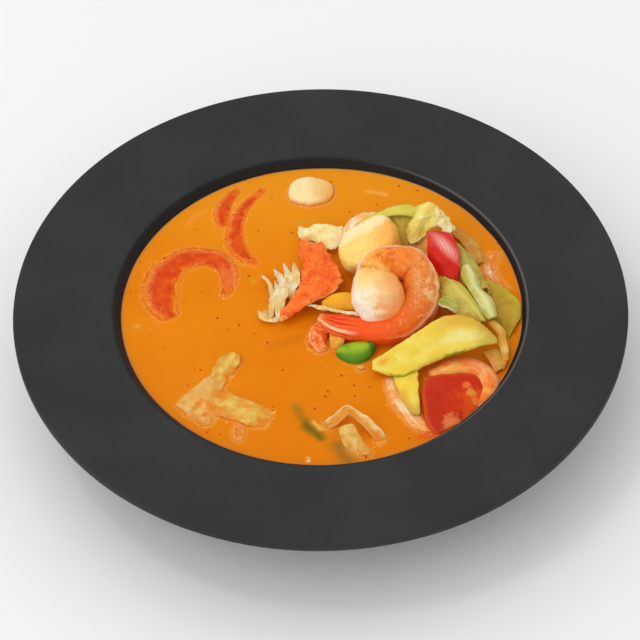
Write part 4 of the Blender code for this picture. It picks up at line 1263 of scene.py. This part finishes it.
leaf("leaf_tent", (
    [(1.6, -73.4, 38.9), (7, -70.6, 41.2), (11.8, -68.2, 44), (17, -72.8, 42.4),
     (22, -78.4, 40.6), (25.2, -82.4, 38.9)],
    [(-1, -68.5, 39.6), (5.5, -65.5, 43), (11, -63.5, 46), (18.5, -67.5, 44.4),
     (23.5, -71.5, 42.4), (28, -76.5, 39.6)],
), tented, (236, 160, 60), -0.4, 0.3, grid=(160, 70), ragged=0.05, nick=3.4, crumple=0.8,
     fold=8.0, seed=18)
leaf("leaf_tent_fold", (
    [(6.8, -72.5, 41), (8.4, -80.5, 40.2), (13, -87.5, 38.9)],
    [(13.4, -71, 42.6), (17.6, -79, 41.2), (22, -86.5, 39.1)],
), folded, (224, 156, 58), 0.7, 0.2, crumple=0.6, fold=6.0, ragged=0.08, nick=3.0, drop=0.6,
     seed=19)
leaf("leaf_tail", (
    [(-8, -3, 44), (2.5, -8.6, 46.4), (12, -12.4, 47.8), (20, -14.6, 48.4)],
    [(-7.6, -0.6, 44.4), (3, -6.4, 47), (12.5, -10.6, 48.2), (20.4, -13, 48.8)],
), fringed, (240, 190, 110), 0.4, 0.1, grid=(110, 30), crumple=0.5, fold=4.0, ragged=0.05, seed=20)
leaf("pale_bit", (
    [(4, -25, 39), (7, -25.5, 39.2), (10.5, -24, 39.4)],
    [(4, -18.6, 41), (7, -17.8, 42), (11, -19, 41.6)],
), creamy, (240, 158, 56), 1.4, 0.0, grid=(60, 50), corner=0.3, ragged=0.1, nick=2.4,
     crumple=1.0, fold=3.6, seed=21, thickness=1.8)


def shred(node, path, width, finish, colour, lean, **more):
    """A narrow flame-shaped strip along a path, leaning to one side and pointed at its tip."""
    edges = ([], [])
    for share in np.linspace(0, 1, 9):
        ahead, behind = along(path, min(1, share + 0.05)), along(path, max(0, share - 0.05))
        forward = Vector(ahead) - Vector(behind)
        side = forward.cross(Vector((0, 0, 1))).normalized() * math.cos(lean)
        side += Vector((0, 0, 1)) * math.sin(lean)
        half = width / 2 * math.sin(math.pi * (0.2 + 0.78 * share)) ** 0.8
        edges[0].append(tuple(Vector(along(path, share)) - side * half))
        edges[1].append(tuple(Vector(along(path, share)) + side * half))
    leaf(node, edges, finish, colour, 0.0, 0.0, 0.6, grid=(70, 30), crumple=1.0, fold=3.6, **more)


# Each prong of the fringed leaf: its path from the foot to the tip, its width and its lean.
FRINGE = [
    ([(-19.4, -8.4, 40.4), (-18.2, 1.9, 42.6), (-16.6, 7.7, 44.2), (-18.3, 13.7, 45),
      (-21.8, 20.6, 44.6)], 5.8, 0.25),
    ([(-22.9, -1.5, 40.4), (-22.3, 7.4, 41), (-23.9, 14.5, 41.2), (-27.6, 20.6, 40.2)], 2.9, 0.2),
    ([(-23.4, -8, 39.8), (-21.6, 2, 41.6), (-20.2, 8, 43), (-20.8, 14, 43.4)], 4.2, 0.4),
    ([(-15, 3.6, 42.4), (-14.4, 9, 44), (-14.6, 15.7, 44.8), (-16.9, 23.4, 44.8)], 5.0, 0.1),
    ([(-14.8, 3.6, 42.2), (-12.4, 10.3, 44), (-11.2, 15.6, 44.8), (-12, 23.6, 44.8)], 5.6, 0.0),
    ([(-26.4, -1.6, 39.4), (-24.2, -6.6, 40.2), (-18.8, -8.2, 40.6)], 8.2, 0.4),
]
for number, (prong, prong_width, prong_lean) in enumerate(FRINGE):
    name = "leaf_prong_%d" % number if number else "leaf_fringed"
    shred(name, prong, prong_width, fringed, (236, 190, 90), prong_lean,
          ragged=0.1, nick=2.6, seed=50 + number)


LOOP_PLACE = (74.8, 3.4, 46.6)
LOOP_TURN = Matrix.Rotation(math.radians(14), 3, "Y") @ Matrix.Rotation(math.radians(62), 3, "X")
LOOP_HALF = 3.5
LOOP_RIM = (0.45, 0.4)


def loop_outline():
    """The section of the rolled end of a rib: a short tube, narrower at its top."""
    shares, turns = np.linspace(0, 1, 24), np.linspace(0.3, 2.8, 6)
    wide, high = LOOP_RIM
    outer = [(3.0 - 0.4 * share, -LOOP_HALF + 7.0 * share) for share in shares]
    inner = [(1.7 + 0.4 * (1 - share), 3.4 - 6.9 * share) for share in shares]
    top = [(2.15 + wide * math.cos(a), LOOP_HALF + high * math.sin(a)) for a in turns]
    foot = [(2.55 - wide * math.cos(a), -LOOP_HALF - high * math.sin(a)) for a in turns]
    return outer + top + inner + foot + outer[:1]


loop_round = np.linspace(0, 2 * math.pi, 49)
loop = np.array([[(r * math.cos(t), r * math.sin(t), z) for t in loop_round]
                 for r, z in loop_outline()])
loop *= (1 + 0.04 * patches(loop, 2.5, 23))[..., None]
loop[:, -1] = loop[:, 0]
loop = loop @ np.array(LOOP_TURN).T + np.array(LOOP_PLACE)
loop_spots = pairs(np.linspace(0, 1, len(loop)), loop_round / (2 * math.pi))
loop_mesh = skin("leaf_loop", loop, loop_spots)
serve("leaf_loop", loop_mesh, middling, (190, 180, 80), 0.01)


# ------------------------------------------------------------------------ the crab stick
# An unrolled sheet of crab stick that stands in the curry on one edge: orange-red outside,
# torn along its fibres, with cream flecks and frayed ends.

def crab_finish():
    """Orange-red in uneven patches with painted highlight and shade, cream outlines and long
    fibres.
    """
    finish = Finish("crab_stick", WET | {"Coat Weight": 0.3})
    # Uneven tone, with a painted highlight in the brighter patches, which stand for its bulges.
    mottle = finish.mottled(7.0, 0.34, 0.66, warp=0.7)
    finish.colour = finish.blend(mottle, (244, 88, 14), (252, 124, 36))
    fibres = finish.cloud(1.0 * MM, 3.0, where=finish.place((1, 0.25, 1), (0, 0, 0.35)))
    finish.lay(0.3 * finish.fade(fibres, 0.5, 0.7), (253, 158, 78))
    flecks = finish.mottled(4.0, 0.6, 0.75, warp=0.4)
    finish.lay(0.5 * flecks, (252, 166, 84))
    # Painted shade: deeper red in soft patches, which stand for the dips between its folds.
    painted_hollow_shade = finish.mottled(3.4, 0.44, 0.3)
    finish.lay(0.5 * painted_hollow_shade, (228, 64, 12))
    for side in finish.shares():
        torn = side + 0.04 * (finish.cloud(2 * MM, 3.0) - 0.5)
        finish.lay(0.65 * finish.border(torn, 0.06), (253, 196, 122))
    finish.relief(fibres, 0.14 * MM)
    finish.bumps(1.2, 0.15)
    sauced(finish, 0.9)
    return finish.paint(0.38)


def crab_relief(shares, acrosses, points):
    """Long fibres, and lumps where they have pulled apart."""
    fibres = patches(points * np.array((1, 0.3, 1)), 1.5, 31)
    return 0.25 * fibres + 0.9 * patches(points, 6.0, 32) + 0.3 * patches(points, 2.0, 33)


sheet("crab_stick", "crab_stick", (
    [(-9.5, 43.5, 40.6), (-9.6, 31, 41.5), (-9, 17.5, 42.5), (-12.4, 3, 43.5),
     (-17.5, -5.5, 42.4), (-19, -10.5, 41.6)],
    [(1, 37, 42), (5.6, 27.5, 44.6), (11, 10, 47.2), (3.5, 0.5, 46.8),
     (-8, -5.5, 45), (-16, -9.5, 42.4)],
), 2.0, crab_finish(), (236, 104, 34), crown=1.2, ripple=0.8, grid=(190, 90), ragged=0.08,
      nick=2.2, crumple=1.3, fold=6.0, relief=crab_relief, corner=0.04, seed=30)


# ------------------------------------------------------------------------ the onion ring
# A thin glassy ring cut from an onion, soft from the heat, that floats at the front left. It
# is a round section carried round an oval.

RING_PLACE = (-36.8, -73, 39.4)
RING_RADIUS = 2.0
RING_THICKNESS = 0.8
RING_STRETCH = 1.9

ring_finish = Finish("onion", WET)
ring_finish.colour = ring_finish.blend(
    ring_finish.mottled(1.6, 0.35, 0.65, 2.0), (224, 130, 50), (236, 160, 80))
turns, sections = np.linspace(0, 2 * math.pi, 65), np.linspace(0, 2 * math.pi, 25)
reach = RING_RADIUS + RING_THICKNESS * np.cos(sections)
ring = np.stack((np.cos(turns)[:, None] * reach, RING_STRETCH * np.sin(turns)[:, None] * reach,
                 RING_THICKNESS * np.sin(sections) + 0 * turns[:, None]), axis=-1)
ring_mesh = skin("ring_bit", ring + np.array(RING_PLACE), pairs(turns, sections) / (2 * math.pi))
serve("ring_bit", ring_mesh, ring_finish.paint(0.25), (226, 136, 56), 0.01)


# ----------------------------------------------------------------------------- the curry
# Thick coconut curry that fills the well. It climbs the wall and the pieces in it a
# little, and takes their colour where they lie just under its surface.

TOP_LINES = 282  # of its surface's grid, each way
# How high the curry climbs the well's wall, all round and more at +X, and how far out from
# it; how high and how far it climbs the pieces; how wide the ring of froth and painted
# highlight round them is, and how wide its thin edge is.
EDGE_CLIMB = 0.15
RIGHT_CLIMB = 1.85
CLIMB_REACH = 1.1
WALL_SLOPE = 0.76
CLING = 0.55
CLING_REACH = 0.6
FROTH_REACH = 0.7
FILM_REACH = 0.45
# How deep and how near pieces are looked for, and how deep they can be seen.
DEEPEST = 7.0
NEAREST = 3.0
SIGHT = 0.9

# Forms that lie just under the surface, and one line of painted shade: a line, how wide it is, its
# colour and its share.
SUNK = [
    ([(23.5, 75.5), (32.6, 73.1)], 1.1, (248, 178, 84), 0.75),
    ([(-11.9, 55), (-3.8, 56.1), (6.1, 57)], 0.8, (206, 150, 40), 0.7),
    ([(-62, 54.6), (-61.6, 58.4), (-58.4, 62.1), (-54.1, 64)], 1.1, (244, 160, 66), 0.5),
    ([(-84.4, -9.4), (-84, -9)], 1.3, (248, 180, 84), 0.5),
    ([(-74.9, -8.7), (-74.4, -8.2)], 0.9, (244, 160, 60), 0.4),
    ([(-31.5, 18.1), (-30.6, 17)], 1.3, (226, 160, 40), 0.7),
    ([(-6.5, -89.1), (-6.7, -87.4)], 0.7, (252, 226, 170), 0.9),
    ([(-21.5, -61.9), (-21.3, -61.4)], 0.8, (252, 196, 90), 0.9),
    ([(-11.4, -59.5), (-8.8, -65), (-5, -70.5), (-1.2, -75)], 2.6, (150, 112, 26), 0.8),
    ([(-7.6, -68.8), (-4.4, -72.8), (-0.6, -76.8)], 2.0, (78, 92, 24), 0.95),
    ([(6.4, -80.5), (8.6, -85), (11, -89.5)], 3.6, (132, 104, 34), 0.8),
    ([(-4, -67.5), (-1, -71.5)], 0.9, (244, 196, 100), 0.8),
    ([(50, -66), (60, -60), (70, -50), (74, -46)], 8.5, (206, 74, 24), 0.9),
    ([(46, -75), (53, -77)], 4.0, (220, 66, 20), 0.85),
    # Painted shade: a brownish line on the curry to the left of the small prawn, not a sunk form.
    ([(-23, -23.3), (-9.4, -18.4)], 2.6, (190, 96, 20), 0.35),
    ([(64.4, -54.1), (69, -50.5)], 1.6, (226, 130, 44), 0.7),
]


def line_distance(x, y, line):
    """The distance from each point to a line through points."""
    nearest = np.full(x.shape, 1e9)
    for (ax, ay), (bx, by) in zip(line, line[1:]):
        dx, dy = bx - ax, by - ay
        part = np.clip(((x - ax) * dx + (y - ay) * dy) / (dx * dx + dy * dy), 0, 1)
        nearest = np.minimum(nearest, np.hypot(x - ax - part * dx, y - ay - part * dy))
    return nearest


def even_disc(lines):
    """A square grid's lines drawn evenly over a disc of radius 1."""
    a, b = np.meshgrid(np.linspace(-1, 1, lines + 1), np.linspace(-1, 1, lines + 1), indexing="ij")
    flat = np.abs(a) > np.abs(b)
    radius = np.where(flat, a, b)
    low, high = np.where(flat, b, a), np.where(flat, a, b)
    part = np.divide(low, high, out=np.zeros_like(low), where=high != 0)
    angle = np.where(flat, math.pi / 4 * part, math.pi / 2 - math.pi / 4 * part)
    return radius * np.cos(angle), radius * np.sin(angle)


def all_pieces():
    """One search tree over all the food, and the piece that each face belongs to."""
    points, faces, owners = [], [], []
    for number, (piece, _) in enumerate(served):
        offset = len(points)
        points.extend(vert.co / MM for vert in piece.data.vertices)
        for face in piece.data.polygons:
            faces.append([corner + offset for corner in face.vertices])
            owners.append(number)
    return BVHTree.FromPolygons(points, faces), owners


def soften(values, rounds):
    """Blur a grid of values with its neighbours."""
    for _ in range(rounds):
        wide = np.pad(values, [(1, 1), (1, 1)] + [(0, 0)] * (values.ndim - 2), mode="edge")
        beside = wide[:-2, 1:-1] + wide[2:, 1:-1] + wide[1:-1, :-2] + wide[1:-1, 2:]
        values = (beside + 2 * values) / 6
    return values


def curry_mesh():
    """The curry's body, with its colours, and the froth and painted highlight round the pieces, on
    its surface as attributes.
    """
    x, y = even_disc(TOP_LINES)
    angle = np.arctan2(y, x)
    from_middle = np.hypot(x, y)
    climb = EDGE_CLIMB + RIGHT_CLIMB * np.clip(np.cos(angle), 0, 1) ** 1.5
    edge = CURRY_RADIUS + WALL_SLOPE * climb + 0.05
    x, y = x * edge, y * edge
    z = CURRY_LEVEL + climb * np.exp(-(1 - from_middle) * edge / CLIMB_REACH)
    tree, owners = all_pieces()
    tints = np.zeros(x.shape + (3,))
    shares = np.zeros(x.shape)
    froth = np.zeros(x.shape)
    colours = np.array([colour for _, colour in served])
    down = Vector((0, 0, -1))
    for spot in np.ndindex(x.shape):
        here = Vector((x[spot], y[spot], CURRY_LEVEL))
        hit, normal, face, depth = tree.ray_cast(here, down, DEEPEST)
        near, _, near_face, gap = tree.find_nearest(here, NEAREST)
        if hit:
            depth = depth if normal.z > 0 else 0.0
            shares[spot] = math.exp(-(depth / SIGHT) ** 1.5)
            tints[spot] = colours[owners[face]]
        elif near:
            tints[spot] = colours[owners[near_face]]
        if near:
            z[spot] += CLING * math.exp(-gap / CLING_REACH)
            froth[spot] = math.exp(-((gap - CLING_REACH) / FROTH_REACH) ** 2)
    shares, tints = soften(shares, 2), soften(tints, 1)
    level = np.stack((x, y, 0 * x), axis=-1)
    uneven = 1 + 0.4 * patches(level, 3.0, 43)
    for line, width, colour, strength in SUNK:
        over = strength * np.exp(-(line_distance(x, y, line) / (width * uneven)) ** 2)
        kept = shares * (1 - over)
        total = np.maximum(kept + over, 1e-6)[..., None]
        tints = (tints * kept[..., None] + np.array(tone(colour)) * over[..., None]) / total
        shares = kept + over
    film = np.exp(-(1 - from_middle) * edge / FILM_REACH)
    z += 0.06 * patches(level, 14.0, 40)
    points = np.stack((x, y, z), axis=-1).reshape(-1, 3)
    rows = TOP_LINES + 1
    index = np.arange(rows * rows).reshape(rows, rows)
    faces = np.stack((index[:-1, :-1], index[1:, :-1], index[1:, 1:], index[:-1, 1:]), axis=-1)
    faces = faces.reshape(-1, 4).tolist()
    ring = np.concatenate((index[0, :-1], index[:-1, -1], index[-1, :0:-1], index[:0:-1, 0]))
    spokes = points[ring, :2] / np.hypot(points[ring, 0], points[ring, 1])[:, None]
    for radius, height in well_wall(0.1, 9)[:0:-1]:
        after = np.arange(len(points), len(points) + len(ring))
        points = np.vstack((points, np.column_stack((spokes * radius, np.full(len(ring), height)))))
        faces += np.stack((ring, np.roll(ring, -1), np.roll(after, -1), after), axis=-1).tolist()
        ring = after
    faces.append(ring.tolist())
    mesh = bpy.data.meshes.new("curry")
    mesh.from_pydata((points * MM).tolist(), [], faces)
    spare = len(points) - rows * rows
    for name, values in (("share", shares), ("film", film), ("froth", froth)):
        layer = mesh.attributes.new(name, "FLOAT", "POINT")
        layer.data.foreach_set("value", np.pad(values.ravel(), (0, spare)).astype(np.float32))
    seen = np.ones((len(points), 4), dtype=np.float32)
    seen[:rows * rows, :3] = tints.reshape(-1, 3)
    mesh.attributes.new("seen", "FLOAT_COLOR", "POINT").data.foreach_set("color", seen.ravel())
    seal(mesh)
    return mesh


def curry_finish():
    """Creamy orange, slightly uneven, with the colour of what lies just beneath."""
    finish = Finish("curry", {
        "Specular IOR Level": 0.02, "Coat Weight": 0.1, "Coat Roughness": 0.08, "Coat IOR": 1.33,
        "Subsurface Weight": 0.05, "Subsurface Radius": (1, 0.4, 0.1), "Subsurface Scale": 2 * MM})
    swirl = finish.mottled(34, 0.3, 0.7, 4.0, warp=0.8)
    finish.colour = finish.blend(swirl, (228, 126, 8), (232, 134, 12))
    here = finish.place()
    north = finish.axis(here, "Y") + (24 * MM) * (finish.cloud(26 * MM, 3.0, warp=0.5) - 0.5)
    finish.lay(0.9 * finish.fade(north, 20 * MM, 88 * MM), (234, 148, 24))
    finish.lay(0.5 * finish.fade(north, -20 * MM, -70 * MM), (222, 120, 4))
    curd = finish.mottled(1.4, 0.55, 0.8, 4.0)
    finish.lay(0.25 * curd, (236, 150, 44))
    # A paler ring round the pieces: froth, and a painted highlight on the curry where it climbs
    # them.
    finish.lay(0.5 * finish.attribute("froth"), (242, 158, 60))
    finish.lay(0.85 * finish.attribute("share"), finish.attribute("seen", "Color"))
    finish.lay(0.8 * finish.attribute("film"), (150, 126, 96))
    finish.bumps(3.0, 0.07)
    finish.bumps(0.6, 0.02, 2.0)
    return finish.paint(0.36)


curry = added("coconut_curry", curry_mesh())
curry.data.materials.append(curry_finish())
belong(curry, "curry")


# --------------------------------------------------------------- the curry's specks and froth
# Tiny flakes of red chilli float all over the curry, and small bubbles gather round the
# pieces. Geometry Nodes scatter both over the curry's own surface.

def scatter_tree():
    """Geometry Nodes: flattened beads on the upward faces, more of them where it is frothy."""
    node, end, given = new_tree("scatter", {
        "Surface": "Geometry", "Everywhere": "Float", "In froth": "Float", "Smallest": "Float",
        "Largest": "Float", "Flatness": "Float", "Seed": "Int", "Finish": "Material"})
    froth = node("GeometryNodeInputNamedAttribute", {"data_type": "FLOAT"}, Name="froth")
    facing = node("ShaderNodeSeparateXYZ", _0=node("GeometryNodeInputNormal").outputs[0])
    upward = node("FunctionNodeCompare", {"operation": "GREATER_THAN"},
                  _0=facing.outputs["Z"], _1=0.9)
    frothy = node("ShaderNodeMath", {"operation": "MULTIPLY"},
                  _0=froth.outputs[0], _1=given["In froth"])
    density = node("ShaderNodeMath", _0=frothy.outputs[0], _1=given["Everywhere"])
    points = node("GeometryNodeDistributePointsOnFaces", Mesh=given["Surface"],
                  Selection=upward.outputs[0], Density=density.outputs[0], Seed=given["Seed"])
    bead = node("GeometryNodeMeshIcoSphere", Radius=1.0, Subdivisions=2)
    flat = node("ShaderNodeCombineXYZ", X=1.0, Y=1.0, Z=given["Flatness"])
    pressed = node("GeometryNodeTransform", Geometry=bead.outputs["Mesh"], Scale=flat.outputs[0])
    smooth = node("GeometryNodeSetShadeSmooth", Geometry=pressed.outputs[0])
    size = node("FunctionNodeRandomValue", {"data_type": "FLOAT"},
                _2=given["Smallest"], _3=given["Largest"], Seed=given["Seed"])
    placed = node("GeometryNodeInstanceOnPoints", Points=points.outputs["Points"],
                  Instance=smooth.outputs[0], Scale=size.outputs["Value"])
    return end(placed.outputs[0], given["Finish"])


def speck_finish(name, first, second):
    finish = Finish(name, WET)
    finish.colour = finish.blend(finish.mottled(3, 0.3, 0.7, 2.0), first, second)
    return finish.paint(0.3)


scatter = scatter_tree()
for name, settings in {
    "chilli_specks": {
        "Everywhere": 5200.0, "In froth": 0.0, "Smallest": 0.12 * MM, "Largest": 0.66 * MM,
        "Flatness": 0.4, "Seed": 5,
        "Finish": speck_finish("chilli", (168, 50, 8), (204, 80, 14))},
    "curry_bubbles": {
        "Everywhere": 600.0, "In froth": 140000.0, "Smallest": 0.08 * MM, "Largest": 0.40 * MM,
        "Flatness": 0.7, "Seed": 9,
        "Finish": speck_finish("froth", (244, 172, 74), (252, 206, 130))},
}.items():
    specks = grown(name, curry.data.copy(), scatter, settings)
    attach(specks, "root")
